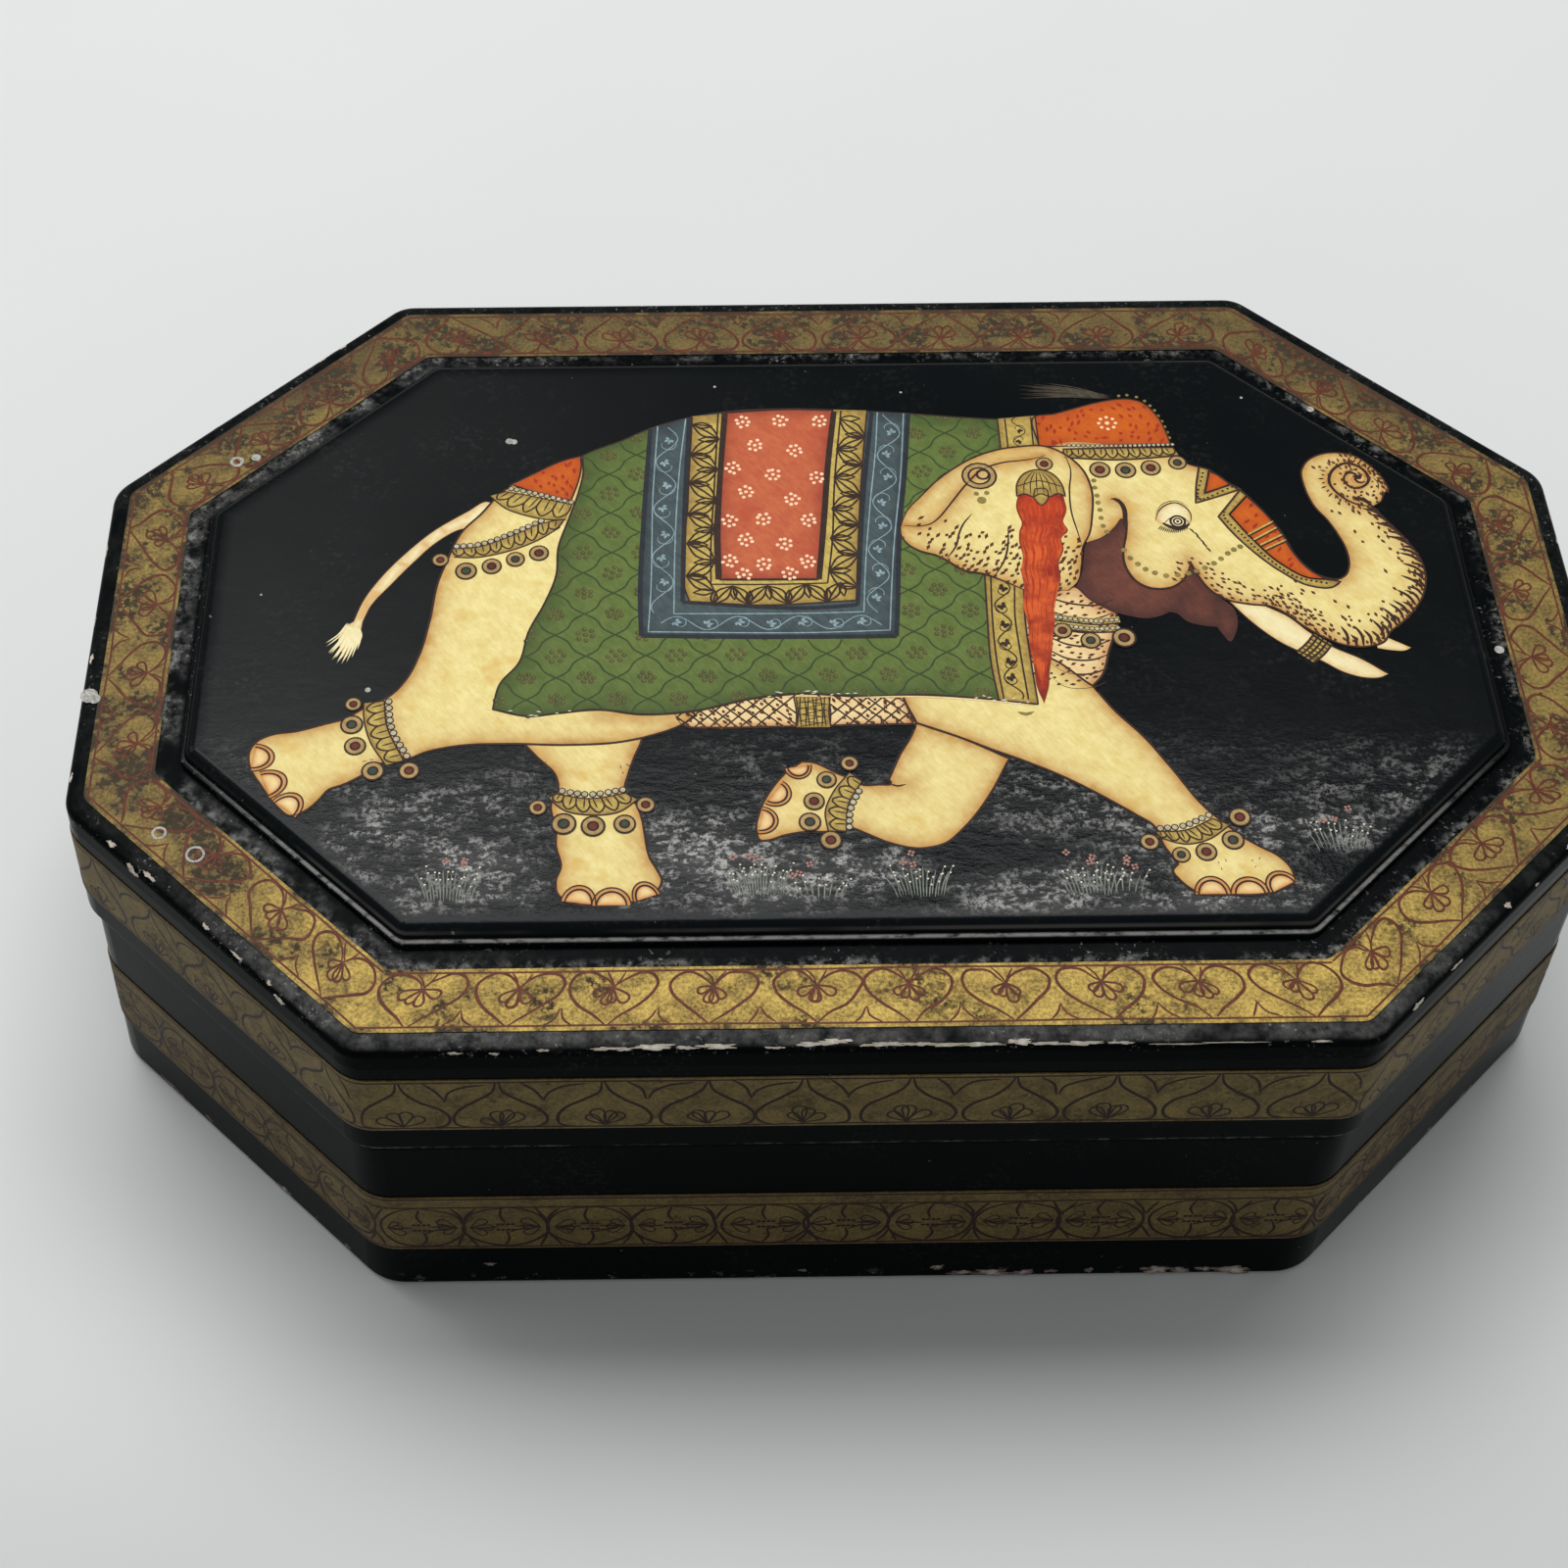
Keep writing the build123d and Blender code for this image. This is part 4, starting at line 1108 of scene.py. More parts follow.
ear_chance = np.maximum(
    ear_chance, np.exp(-distance_to(ear_skin, [flow(ear_low)]) / 1.2) * (ear_skin[:, 0] > 8))
flecks(specks, ear_skin[(random.uniform(0, 1, len(ear_skin)) < ear_chance) & (ear_skin[:, 0] < 25.4)], 0.8,
       0.4, 0.9, EAR + OVER)
flecks(specks, scatter(neck, 0.95), 0.66, 0.34, 0.4, NEAR + OVER)
belly_points = scatter(belly, 0.62)
belly_points = belly_points[(belly_points[:, 0] < girth_from) | (belly_points[:, 0] > girth_to)]
flecks(specks, belly_points[::2], 0.64, 0.36, 2.3, NEAR + OVER)
for x, y, turn in (
        (-30, -17.6, 0.9), (-22, -18, 2.2), (-46.8, -17, 0.3), (37.4, -29.6, 1.0), (34.2, -29.8, 1.6)):
    flecks(
        specks, np.array([[x, y], [x + 0.7, y + 0.2], [x + 0.2, y - 0.7]]), 0.5, 0.1, turn, NEAR + 2 * OVER)

hem = flow(cloth_hem, 0.25)
hem = hem[(hem[:, 0] < -27) | (hem[:, 0] > 11) | (np.abs(hem[:, 0] + 4) < 5)]
hem_scuffs = hem[random.uniform(0, 1, len(hem)) < 0.3]
hem_scuffs = hem_scuffs + random.uniform(-0.45, 0.45, hem_scuffs.shape)
flecks(white_hairs, hem_scuffs, 0.6, 0.12, 0.1, DRESS + 2 * OVER)
paints["chain_beads"].line(
    flow([(16.9, -11.9), (17.7, -12.2), (18.5, -11.9)]), 0.4, NEAR + 2 * OVER, taper=0.8)
paints["rosy_skin"].line(
    flow([(1, -9.9), (8, -9.95), (14, -10.5), (18.6, -11.1)]), 0.2, DRESS + 2 * OVER, taper=0.8)
for loop, pitch, lift in (
        (rump_cloth, 1.05, BAND + OVER), (cap, 1.2, CAP + OVER), (face_cloth, 1.6, HEAD + 2 * OVER)):
    spots = scatter(loop, pitch)
    from_edge = distance_to(spots, [np.vstack([loop, loop[:1]])])
    spots = spots[(from_edge > 0.35) & (np.linalg.norm(spots - cap_flower, axis=1) > 1.7)]
    around_flower = np.arctan2(spots[:, 1] - cap_flower[1], spots[:, 0] - cap_flower[0]) + math.pi / 2
    flecks(paints["orange_dashes"], spots, 0.85, 0.42, around_flower, lift)

for x, y, blades, tall in (
        (-38, -33, 16, 3.6), (-9, -33, 20, 3.6), (-3.5, -33.2, 9, 2.4), (6, -33.2, 17, 3.4),
        (22, -33.2, 14, 3.4), (24.6, -33, 8, 2.6), (46, -28.5, 12, 3.2)):
    for blade in range(blades):
        fan = (blade - (blades - 1) / 2) / blades
        high_tip = tall * random.uniform(0.6, 1.05)
        root = (x + fan * 4.5, y + random.uniform(-0.2, 0.3))
        blade_path = flow(
            [root, (root[0] + fan * 0.8, y + high_tip * 0.5), (root[0] + fan * 2.2, y + high_tip)])
        paints["grass_tufts"].line(blade_path, 0.13, GRASS)
        if blade % 3:
            white_hairs.dots(blade_path[[-1, -3]] + (0.1, 0.05), 0.1, GRASS, sides=6)
    for flower in range(3):
        centre = np.array([x + random.uniform(-2.4, 2.4), y + tall + random.uniform(0.0, 1.6)])
        around = np.arange(4) * math.pi / 2 + flower
        petals = centre + 0.24 * np.column_stack([np.cos(around), np.sin(around)])
        paints["grass_flowers"].dots(petals, 0.15, GRASS, sides=6)
print("stipple, dashes and grass laid")

# %% [markdown]
# ## Line work of the gilded bands
#
# The top border is a row of hearts with their points at the rim and a small hanging
# flower in each cleft. The lid's wall has the same row turned over, and the base has a
# chain of ovals with a cross of stems inside. The pattern is ruled side by side: as
# many repeats go on a side as fit it best, so none is cut at a corner. A small seeded
# wobble keeps it hand-drawn.

# %% Ornament motifs
wobble = np.random.default_rng(4)
INK_LIFT = 0.01
heart_half = [(0.01, 0), (0.13, 0.17), (0.3, 0.38), (0.43, 0.6), (0.455, 0.78), (0.39, 0.93), (0.27, 0.985),
              (0.14, 0.92), (0.05, 0.8), (0, 0.7)]
bell_half = [(0.01, 0), (0.05, 0.2), (0.2, 0.4), (0.39, 0.6), (0.46, 0.78), (0.43, 0.94), (0.3, 1)]


def mirrored(points):
    """The same stroke on the other side of its motif's middle."""
    return [(-x, y) for x, y in points]


def drawn(paint, surface, points, cell, width):
    """One stroke in shares of its cell, wobbled and laid on a surface.

    A cell is the middle of the motif, the pitch, the level of its foot and its height.
    """
    centre, pitch, foot, height = cell
    points = np.array(points, float)
    path = np.column_stack([centre + points[:, 0] * pitch, foot + points[:, 1] * height])
    path = path + wobble.normal(0, 0.08, path.shape)
    paint.line(flow(path, 0.35), width, INK_LIFT, surface=surface, taper=0.55)


def petal(root, angle, length, girth):
    """A closed teardrop: a loop that leaves its root, swells and comes back."""
    t = between(0, 1, 11)
    reach, swell = np.sin(t * math.pi) ** 0.8 * length, np.sin(t * 2 * math.pi) * girth
    way = np.array([math.cos(angle), math.sin(angle)])
    return np.array(root) + reach[:, None] * way + swell[:, None] * np.array([-way[1], way[0]])


def posy(paint, surface, root, angles, length, width):
    """A few petals from one root."""
    for angle in angles:
        turn = math.radians(angle + wobble.normal(0, 7))
        long = length * wobble.uniform(0.8, 1.15)
        paint.line(petal(root, turn, long, long * 0.24), width, INK_LIFT, surface=surface, taper=0.2)


def ruled(paint, surface, length, level, width, points=14):
    """A line along a whole side at one level, with the small slips of a ruled brush."""
    path = np.column_stack([between(-length / 2, length / 2, points), level + wobble.normal(0, 0.03, points)])
    paint.line(flow(path), width, INK_LIFT, surface, taper=0)


def repeats(length, wanted_pitch):
    """The motifs of one side: the pitch that fills it, each one's middle, and whether one more follows."""
    count = max(2, round(length / wanted_pitch))
    pitch = length / count
    for n in range(count):
        yield pitch, (n + 0.5) * pitch - length / 2 + wobble.normal(0, 0.22), n < count - 1


def gilt_side(k, node):
    """Side k of a gilded band on a wall, u from the middle of its whole length, and that length."""
    place, reach = on_wall(k, half_width - high(node, Y) + gilding, low(node, Z))
    middle = (reach[1] - reach[0]) / 2

    def surface(u, v, lift):
        """A point of the band's outer face, lifted straight out."""
        return place(u + middle, v, lift + gilding)

    return surface, reach[0] + reach[1]


border_ink = Paint("border_line_work", "lid", "gold_ground")
lid_ink = Paint("lid_band_line_work", "lid", "gold_ground")
base_ink = Paint("base_band_line_work", "base", "gold_ground")
print("half a heart has", len(heart_half), "points and half a bell", len(bell_half))

# %% Top border: hearts, hanging flowers and small leaves
heart_pitch = 9.1
border_foot, border_height = 0.55, border_width - 1.0
for k in range(8):
    surface, length = on_border(k)
    for pitch, centre, followed in repeats(length, heart_pitch):
        cell = centre, pitch, border_foot, border_height
        for half in (heart_half, mirrored(heart_half)):
            drawn(border_ink, surface, half, cell, 0.3)
        root = (centre, border_foot + 0.7 * border_height)
        posy(border_ink, surface, root, (-150, -112, -80, -38), 1.9, 0.24)
        sprigs = [[(0, 0.7), (-0.05, 0.86), (-0.12, 1)], [(0, 0.7), (0.06, 0.86), (0.1, 0.99)]]
        if followed:
            sprigs += [[(0.36, 0), (0.44, 0.12), (0.49, 0.3)], [(0.49, 0.3), (0.54, 0.14), (0.66, 0)]]
        for sprig in sprigs:
            drawn(border_ink, surface, sprig, cell, 0.2)
    for level in (border_foot - 0.05, border_foot + border_height + 0.05):
        ruled(border_ink, surface, length, level, 0.2, points=12)
print("top border drawn")

# %% Lid band: the same row turned over
lid_band_low, lid_band_high = low("gilt_band_lid", Z), high("gilt_band_lid", Z)
for k in range(8):
    surface, length = gilt_side(k, "gilt_band_lid")
    for pitch, centre, followed in repeats(length, heart_pitch):
        cell = centre, pitch, lid_band_high - 0.45, -(lid_band_high - lid_band_low - 0.8)
        for half in (bell_half, mirrored(bell_half)):
            drawn(lid_ink, surface, half, cell, 0.36)
        posy(lid_ink, surface, (centre, lid_band_low + 0.6), (138, 104, 76, 44), 2.6, 0.22)
        drawn(lid_ink, surface, [(0.24, 0), (0.36, 0.16), (0.43, 0.4)], cell, 0.3)
        if followed:
            drawn(lid_ink, surface, [(0.43, 0.4), (0.48, 0.24), (0.6, 0.13), (0.86, 0.04)], cell, 0.3)
    for level in (lid_band_low + 0.35, lid_band_high - 0.4):
        ruled(lid_ink, surface, length, level, 0.22)
print("lid band drawn")

# %% Base band: a chain of ovals
base_band_low, base_band_high = low("gilt_band_base", Z), high("gilt_band_base", Z)
oval_pitch, oval_half = 8.9, 3.85
oval_level = base_band_low + 0.5 + oval_half
oval = [(math.sin(a) * 0.5, math.cos(a)) for a in between(0, 2 * math.pi, 15)]
oval_stems = (
    [(0, 1), (-0.05, 0.55), (0, 0.22)], [(0, -0.22), (0.03, -0.6), (-0.04, -1)],
    [(0.1, 0.02), (0.26, 0.04), (0.4, 0)], [(-0.1, 0.02), (-0.26, -0.03), (-0.4, 0)],
    [(0.02, -0.3), (0.14, -0.16), (0.32, -0.1)], [(0.5, 0.3), (0.45, 0.62), (0.36, 0.98)],
    [(0.5, 0.3), (0.55, 0.62), (0.64, 0.98)], [(0.5, -0.3), (0.45, -0.62), (0.38, -0.98)],
    [(0.5, -0.3), (0.56, -0.6), (0.63, -0.98)])
for k in range(8):
    surface, length = gilt_side(k, "gilt_band_base")
    for pitch, centre, _ in repeats(length, oval_pitch):
        cell = centre, pitch, oval_level, oval_half
        drawn(base_ink, surface, oval, cell, 0.34)
        for stem in oval_stems:
            drawn(base_ink, surface, stem, cell, 0.3)
        for side, angles in ((1, (142, 180, 222)), (-1, (38, 0, -42))):
            posy(base_ink, surface, (centre + side * 0.41 * pitch, oval_level), angles, 2.1, 0.19)
        spots = [(centre + x * 0.75, oval_level + y * 0.55) for x in (-1, -0.35, 0.35, 1) for y in (-1, 1)]
        base_ink.dots(spots, 0.25, INK_LIFT, surface, sides=6, height=0.015)
    for level in (base_band_low + 0.4, base_band_high - 2.05, base_band_high - 0.4):
        ruled(base_ink, surface, length, level, 0.24)
print("base band drawn")

# %% [markdown]
# ## Chips and spots
#
# Years of handling have knocked the lacquer off the rim, where white gesso shows, and
# off the foot, where the bare grey-brown pulp shows. A chip is a ragged patch that
# follows the rounded rim. Dried splashes have left pale rings on the lid.

# %% Ragged patches on the rim and the foot
rim_rounding = 1.3
rim_centre_level = rim_level - rim_rounding
lean_angle = math.atan(wall_lean)
chip_lift = 0.03


def ragged(x, y, half_wide, half_tall, seed):
    """A closed patch: an ellipse whose radius swings with four sines of random phase."""
    phase = np.random.default_rng(seed).uniform(0, 2 * math.pi, 4)
    a = np.arange(40) * 2 * math.pi / 40
    radius = 1 + sum(np.sin(a * m + p) * s for m, p, s in zip((2, 3, 5, 9), phase, (0.18, 0.16, 0.18, 0.16)))
    return np.column_stack([x + half_wide * radius * np.cos(a), y + half_tall * radius * np.sin(a)])


def on_rim(k):
    """Side k of the lid's rim: u along it, v round the edge from the wall (0) to the flat top, lift outwards.

    The rounding is an arc whose angle grows from the wall's lean to a right angle. Below
    0 the patch runs down the wall, and past the arc it runs inwards over the top.
    """
    place, _ = on_wall(k, rim_foot_inset, rim_foot)
    arc_inset = (
        rim_foot_inset + (rim_centre_level - rim_foot) * wall_lean + rim_rounding / math.cos(lean_angle))
    arc_length = rim_rounding * (math.pi / 2 - lean_angle)

    def surface(u, v, lift):
        """A point of the rim: the wall's point at that level, moved to the rounding's own inset."""
        on_arc = np.clip(v, 0, arc_length)
        angle = lean_angle + on_arc / rim_rounding
        out = (rim_rounding + lift) * np.cos(angle)
        inset = arc_inset - out + np.maximum(v - arc_length, 0)
        level = rim_centre_level + (rim_rounding + lift) * np.sin(angle) + np.minimum(v, 0)
        points = place(u, level, 0.0)
        outward = place(u, level, 1.0) - points
        drawn_in = rim_foot_inset + (level - rim_foot) * wall_lean
        points = points + outward * (drawn_in - inset)[..., None]
        points[..., 2] = level
        return points

    return surface


def on_foot(k):
    """Side k of the base wall near its foot, v up from the table."""
    return on_wall(k, 0.0, 0.0)[0]


def chip(paint, surface, x, v, half_wide, half_tall, seed, mesh):
    """A ragged patch of what lies under the lacquer."""
    patch = ragged(x, v, half_wide, half_tall, seed)
    paint.area(patch, chip_lift, surface, mesh=mesh, reach=mesh / 2, body_of_paint=chip_lift)


def strewn(paint, surface, marks, seed, levels, half_widths, half_heights, mesh):
    """Chips at random places of a side, each with its size drawn between two limits."""
    for mark in range(marks):
        spot = np.random.default_rng(seed + mark)
        chip(paint, surface, spot.uniform(-17, 17), spot.uniform(*levels), spot.uniform(*half_widths),
             spot.uniform(*half_heights), mark, mesh)


gesso = Paint("gesso_chips", "lid", "black_lacquer")
gesso_stretch, gesso_squeeze = 1.3, 0.42
for number, (x, v, half_wide, half_tall) in enumerate(
        ((-37, 0.6, 0.5, 0.25), (-33.4, 0.5, 0.3, 0.3), (-29, 0.8, 0.35, 0.3), (-23.2, 0.9, 1, 0.35),
         (-21.6, 0.8, 0.5, 0.3), (-19, 1, 1.5, 0.55), (-16, 0.9, 0.7, 0.35), (-13.2, 1, 1.3, 0.5),
         (-8, 0.8, 0.6, 0.25), (-4.6, 1.1, 1.2, 0.4), (-2.6, 1.3, 1.1, 0.55), (1.8, 1, 1.2, 0.5),
         (4.9, 1, 1, 0.4), (7.6, 0.9, 1.3, 0.35), (10.8, 0.9, 1.5, 0.35), (14.2, 1.1, 0.9, 0.55),
         (17, 0.9, 1.5, 0.3), (20, 0.9, 1.3, 0.4), (23.4, 0.9, 0.8, 0.3), (28.6, 0.7, 1.6, 0.14),
         (33.5, 0.8, 1.9, 0.12), (41.6, 0.8, 0.7, 0.2))):
    chip(gesso, on_rim(7), x, v, half_wide * gesso_stretch, half_tall * gesso_squeeze, number, 0.4)
for side, marks in ((6, 9), (0, 6), (5, 4), (1, 3), (4, 4)):
    strewn(gesso, on_rim(side), marks, 100 * side, (0.3, 1.3), (0.25, 0.8), (0.12, 0.3), 0.4)
pulp = Paint("bare_pulp_chips", "base", "black_lacquer")
pulp_stretch, pulp_swell = 1.2, 1.3
for number, (x, v, half_wide, half_tall) in enumerate(
        ((10, 2.5, 0.6, 0.3), (12.6, 1.3, 1.1, 0.3), (15.8, 1.2, 1.7, 0.45), (19, 1.1, 1, 0.4),
         (22, 1.4, 0.5, 0.25), (26, 1.5, 0.4, 0.3), (33, 1.4, 1.4, 0.5), (35.6, 1.2, 0.9, 0.4),
         (38, 1.5, 0.6, 0.3), (41, 1.2, 1.7, 0.55), (-36.5, 4.4, 0.4, 0.25), (-4, 2.2, 0.3, 0.2))):
    chip(pulp, on_foot(7), x, v, half_wide * pulp_stretch, half_tall * pulp_swell, 50 + number, 0.5)
for side in (0, 6):
    strewn(pulp, on_foot(side), 5, 300 * (side + 1), (1, 1.6), (0.4, 1.3), (0.15, 0.4), 0.5)
splashes = Paint("dried_splashes", "lid", "picture_lacquer")
splashes.dots([(-34, 24.8), (-33.5, 24.7), (52, 28.3), (-47, -8.3), (-12, 32.5), (44.8, 30.1), (8.1, 31.4),
               (-58.6, 4)], [0.42, 0.36, 0.4, 0.3, 0.16, 0.16, 0.14, 0.13], 0.02, sides=9, height=0.01)


def on_top(u, v, lift):
    """The gilded margin of the lid, in the lid's own plan."""
    return np.stack([u, v, np.full_like(u, rim_level + gilding) + lift], axis=-1)


splashes.rings([(-62.5, -26.3), (-66.2, -23.8), (-63.2, 24)], [0.95, 0.75, 0.75], [0.7, 0.5, 0.4], 0.012,
               on_top, height=0.012)
splashes.dots([(-75, -7.2), (-74.4, -7.6), (66.5, -3.3), (-61.2, 24.6)], [0.9, 0.6, 0.5, 0.5], 0.012, on_top,
              sides=11, height=0.012)
print("chips and splashes laid")

# %% [markdown]
# ## Shader maths
#
# Finishes are mixed from patterns: noise for dust, masks by height or by distance from
# the rim. This class lets them be written as plain sums. Each operator adds its Math
# node, and one method adds any other node.

# %% A socket that can be used in sums
class Mix:
    """A value in a material's node tree."""

    def __init__(self, tree, socket):
        self.tree, self.socket = tree, socket

    def node(self, kind, output, settings=(), **values):
        """Adds a node, sets its settings, fills its sockets with numbers or links, and returns one output."""
        made = self.tree.nodes.new(kind)
        for key, value in dict(settings).items():
            setattr(made, key, value)
        for key, value in values.items():
            key = key.lstrip("_")
            into = made.inputs[int(key)] if key.isdigit() else made.inputs[key.replace("_", " ")]
            if isinstance(value, Mix):
                self.tree.links.new(value.socket, into)
            else:
                into.default_value = value
        return Mix(self.tree, made.outputs[output])

    def maths(self, operation, *others):
        """One Math node on this value and the others. The four operators below all go through it."""
        values = {f"_{i + 1}": other for i, other in enumerate(others)}
        return self.node("ShaderNodeMath", 0, {"operation": operation}, _0=self, **values)

    def __add__(self, other):
        return self.maths("ADD", other)

    __radd__ = __add__

    def __mul__(self, other):
        return self.maths("MULTIPLY", other)

    __rmul__ = __mul__

    def __sub__(self, other):
        return self.maths("SUBTRACT", other)

    def __rsub__(self, other):
        return (self * -1.0) + other

    def rise(self, start, end):
        """0 below start, 1 past end, with a smooth step between. The ends may be in either order."""
        settings = {"interpolation_type": "SMOOTHSTEP"}
        return self.node("ShaderNodeMapRange", 0, settings, Value=self, From_Min=start, From_Max=end)

    def colours(self, first, second):
        """Goes from the first colour to the second as this value goes from 0 to 1."""
        return self.node("ShaderNodeMix", 2, {"data_type": "RGBA"}, _0=self, _6=first, _7=second)


def pigment(red, green, blue):
    """A colour as it looks on paper, 0 to 255, turned to the linear light that the renderer adds up."""
    share = [c / 255 for c in (red, green, blue)]
    return (*(c / 12.92 if c <= 0.04045 else ((c + 0.055) / 1.055) ** 2.4 for c in share), 1.0)


def finish(name):
    """An empty finish: its Principled shader, and its place on the object in mm as three values."""
    material = bpy.data.materials.new(name)
    material.use_nodes = True
    tree = material.node_tree
    shader = tree.nodes["Principled BSDF"]
    start = Mix(tree, tree.nodes.new("ShaderNodeTexCoord").outputs["Object"])
    place = start.node("ShaderNodeVectorMath", 0, {"operation": "SCALE"}, _0=start, Scale=1 / MM)
    split = tree.nodes.new("ShaderNodeSeparateXYZ")
    tree.links.new(place.socket, split.inputs[0])
    x, y, z = (Mix(tree, out) for out in split.outputs)
    return material, shader, place, x, y, z


def noise(place, size, detail=2.0, rough=0.5):
    """Smooth noise whose blobs are about size mm across, 0 to 1."""
    return place.node("ShaderNodeTexNoise", 0, Vector=place, Scale=1 / size, Detail=detail, Roughness=rough)


def connect(shader, **sockets):
    """Fills the shader's sockets with numbers or links."""
    for key, value in sockets.items():
        into = shader.inputs[key.replace("_", " ")]
        if isinstance(value, Mix):
            value.tree.links.new(value.socket, into)
        else:
            into.default_value = value


def bumped(height, depth, strength=0.4):
    """A normal that follows a height given as 0 to 1, with a depth in mm."""
    return height.node("ShaderNodeBump", 0, Strength=strength, Distance=depth * MM, Height=height)


print("white paper is", [round(c, 3) for c in pigment(245, 245, 240)])

# %% [markdown]
# ## Black lacquer
#
# Many coats of black lacquer are rubbed down and polished, so the shine is deep and
# slightly uneven. Dust lies in the groove round the panel and in the pores of the
# rim. Some of the pale colour is painted light: a sheen, glints and highlight lines on
# the front of the picture panel, a reflection on the front of the rim, and a highlight
# on the lid's lower edge. Masks for these places come from the box's own plan: the
# distance inwards from the foot outline is worked out in the shader from the eight sides.

# %% Lacquer finishes
def inset_of(x, y):
    """Distance inwards from the foot's outline: the least distance to a straight or slanted side."""
    ax, ay = x.maths("ABSOLUTE"), y.maths("ABSOLUTE")
    slant_reach = half_length * corner_cut_width + (half_width - corner_cut_width) * corner_cut_length
    slant_reach = slant_reach / slant
    to_slant = slant_reach - (ax * (corner_cut_width / slant) + ay * (corner_cut_length / slant))
    return (half_length - ax).maths("MINIMUM", half_width - ay).maths("MINIMUM", to_slant)


def lacquer(name, black, dust_level, haze, extra=None, gloss=0.1):
    """Polished black with fine dust, cloudy rubbing and pin specks. Extra adds dust and relief of its own,
    and on the panel, the rim and the lid's lower edge also painted sheen and highlights.
    """
    material, shader, place, x, y, z = finish(name)
    cloud = noise(place, 9.0, 3.0)
    pores = noise(place, 0.55, 2.0)
    specks = noise(place, 0.8, 1.0).rise(0.79, 0.84) * dust_level
    dust_and_sheen = specks + cloud.rise(0.45, 0.8) * pores.rise(0.5, 0.72) * haze
    relief = noise(place, 3.2, 3.0) + 0.25 * pores
    if extra:
        more_dust_and_sheen, more_relief = extra(x, y, z, place)
        dust_and_sheen, relief = dust_and_sheen + more_dust_and_sheen, relief + more_relief
    dust_and_sheen = dust_and_sheen.maths("MINIMUM", 1.0)
    base = cloud.colours(pigment(*black), pigment(*(c + 3 for c in black)))
    # The pale grey is dust, and on the panel, the rim and the lid's lower edge also painted sheen and
    # highlights.
    colour = dust_and_sheen.colours(base, pigment(168, 167, 164))
    rubbed = noise(place, 16.0, 2.0)
    connect(shader, Base_Color=colour, Roughness=0.13 + 0.12 * rubbed + 0.5 * dust_and_sheen, Specular_IOR_Level=gloss,
            Normal=bumped(relief + 0.5 * dust_and_sheen, 0.05, 0.35))
    return material


def lid_dust_and_sheen(x, y, z, place):
    """Grey dust in the groove beside the panel and over the worn rim, thickest on the flat top. Towards the
    front the flat top's grey is also a painted reflection of the lamp.
    """
    inset = inset_of(x, y)
    grain = noise(place, 0.3, 4.0, 0.75)
    soft = noise(place, 1.4, 5.0, 0.7)
    patch = noise(place, 6.0, 3.0, 0.6)
    groove = inset.rise(border_inner - 0.3, border_inner) * inset.rise(panel_inset - 0.1, panel_inset - 0.9)
    beside_gold = inset.rise(border_inner + 1.2, border_inner + 0.3) * groove
    smudges = groove * soft.rise(0.3, 0.85) * (patch.rise(0.36, 0.6) * x.rise(-20.0, -60.0) * 0.36 + 0.01)
    top = inset.rise(border_outer + 0.2, border_outer) * z.rise(rim_level - 0.5, rim_level - 0.1)
    # Dust on the flat top, raised towards the front, where it also paints the lamp's reflection.
    rim = top * soft.rise(0.22, 0.84) * (y.rise(-25.0, -44.0) * 0.28 + 0.04) * patch.rise(0.2, 0.6)
    edge = z.rise(rim_level - 1.5, rim_level - 0.8) * noise(place, 0.5, 3.0, 0.7).rise(0.6, 0.68) * 0.35
    fuzz = beside_gold * soft.rise(0.45, 0.66) * patch.rise(0.34, 0.6) * (0.25 + 0.25 * grain)
    return smudges + fuzz + rim + edge * patch.rise(0.45, 0.6), 0.0


def panel_wear_and_sheen(x, y, z, place):
    """Pale marks on the picture's lacquer: worn speckle at the front that also paints glints of the lamp, a
    painted sheen, dust along the bead, and painted highlight lines on the bead and the shoulder.
    """
    grain = noise(place, 0.42, 3.0, 0.65)
    long_way = place.node("ShaderNodeVectorMath", 0, {"operation": "MULTIPLY"}, _0=place, _1=(0.5, 1.0, 1.0))
    streak = noise(long_way, 0.9, 4.0, 0.65)
    cloud = noise(long_way, 8.0, 3.0)
    flat = z.rise(picture_level - 0.5, picture_level - 0.1)
    flat = flat * inset_of(x, y).rise(panel_inset + 1.4, panel_inset + 3.2)
    front = y.rise(-12.0, -29.0) * flat
    # Painted sheen: a cloudy pale veil towards the front and a faint lightening towards the left stand in for
    # the lamp's reflection.
    haze = flat * (y.rise(-20.0, -32.0) * cloud.rise(0.4, 0.65) * 0.1 + x.rise(10.0, -60.0) * 0.03)
    # Worn varnish at the front; its pale speckle also stands in for glints of the lamp.
    wear_and_glints = front * grain.rise(0.4, 0.62) * streak.rise(0.44, 0.6) * cloud.rise(0.38, 0.6)
    bead = z.rise(picture_level - 0.6, picture_level - 1.4) * grain.rise(0.6, 0.7) * x.rise(0.0, -60.0) * 0.3
    # Painted highlights: a thin pale line on the bead's rounded top and a fainter one where the shoulder
    # begins, only at the front.
    bead_highlight_line = z.rise(picture_level - 1.36, picture_level - 1.24)
    bead_highlight_line = bead_highlight_line * z.rise(picture_level - 1.1, picture_level - 1.2)
    crest_highlight_line = z.rise(picture_level - 0.75, picture_level - 0.6)
    crest_highlight_line = crest_highlight_line * z.rise(picture_level - 0.3, picture_level - 0.5)
    near_edge = y.rise(-14.0, -30.0)
    painted_highlights = near_edge * (bead_highlight_line * streak.rise(0.3, 0.55) * 0.5 + crest_highlight_line * cloud.rise(0.3, 0.6) * 0.12)
    return wear_and_glints + haze + bead + painted_highlights, streak * (0.5 + 9.0 * front)


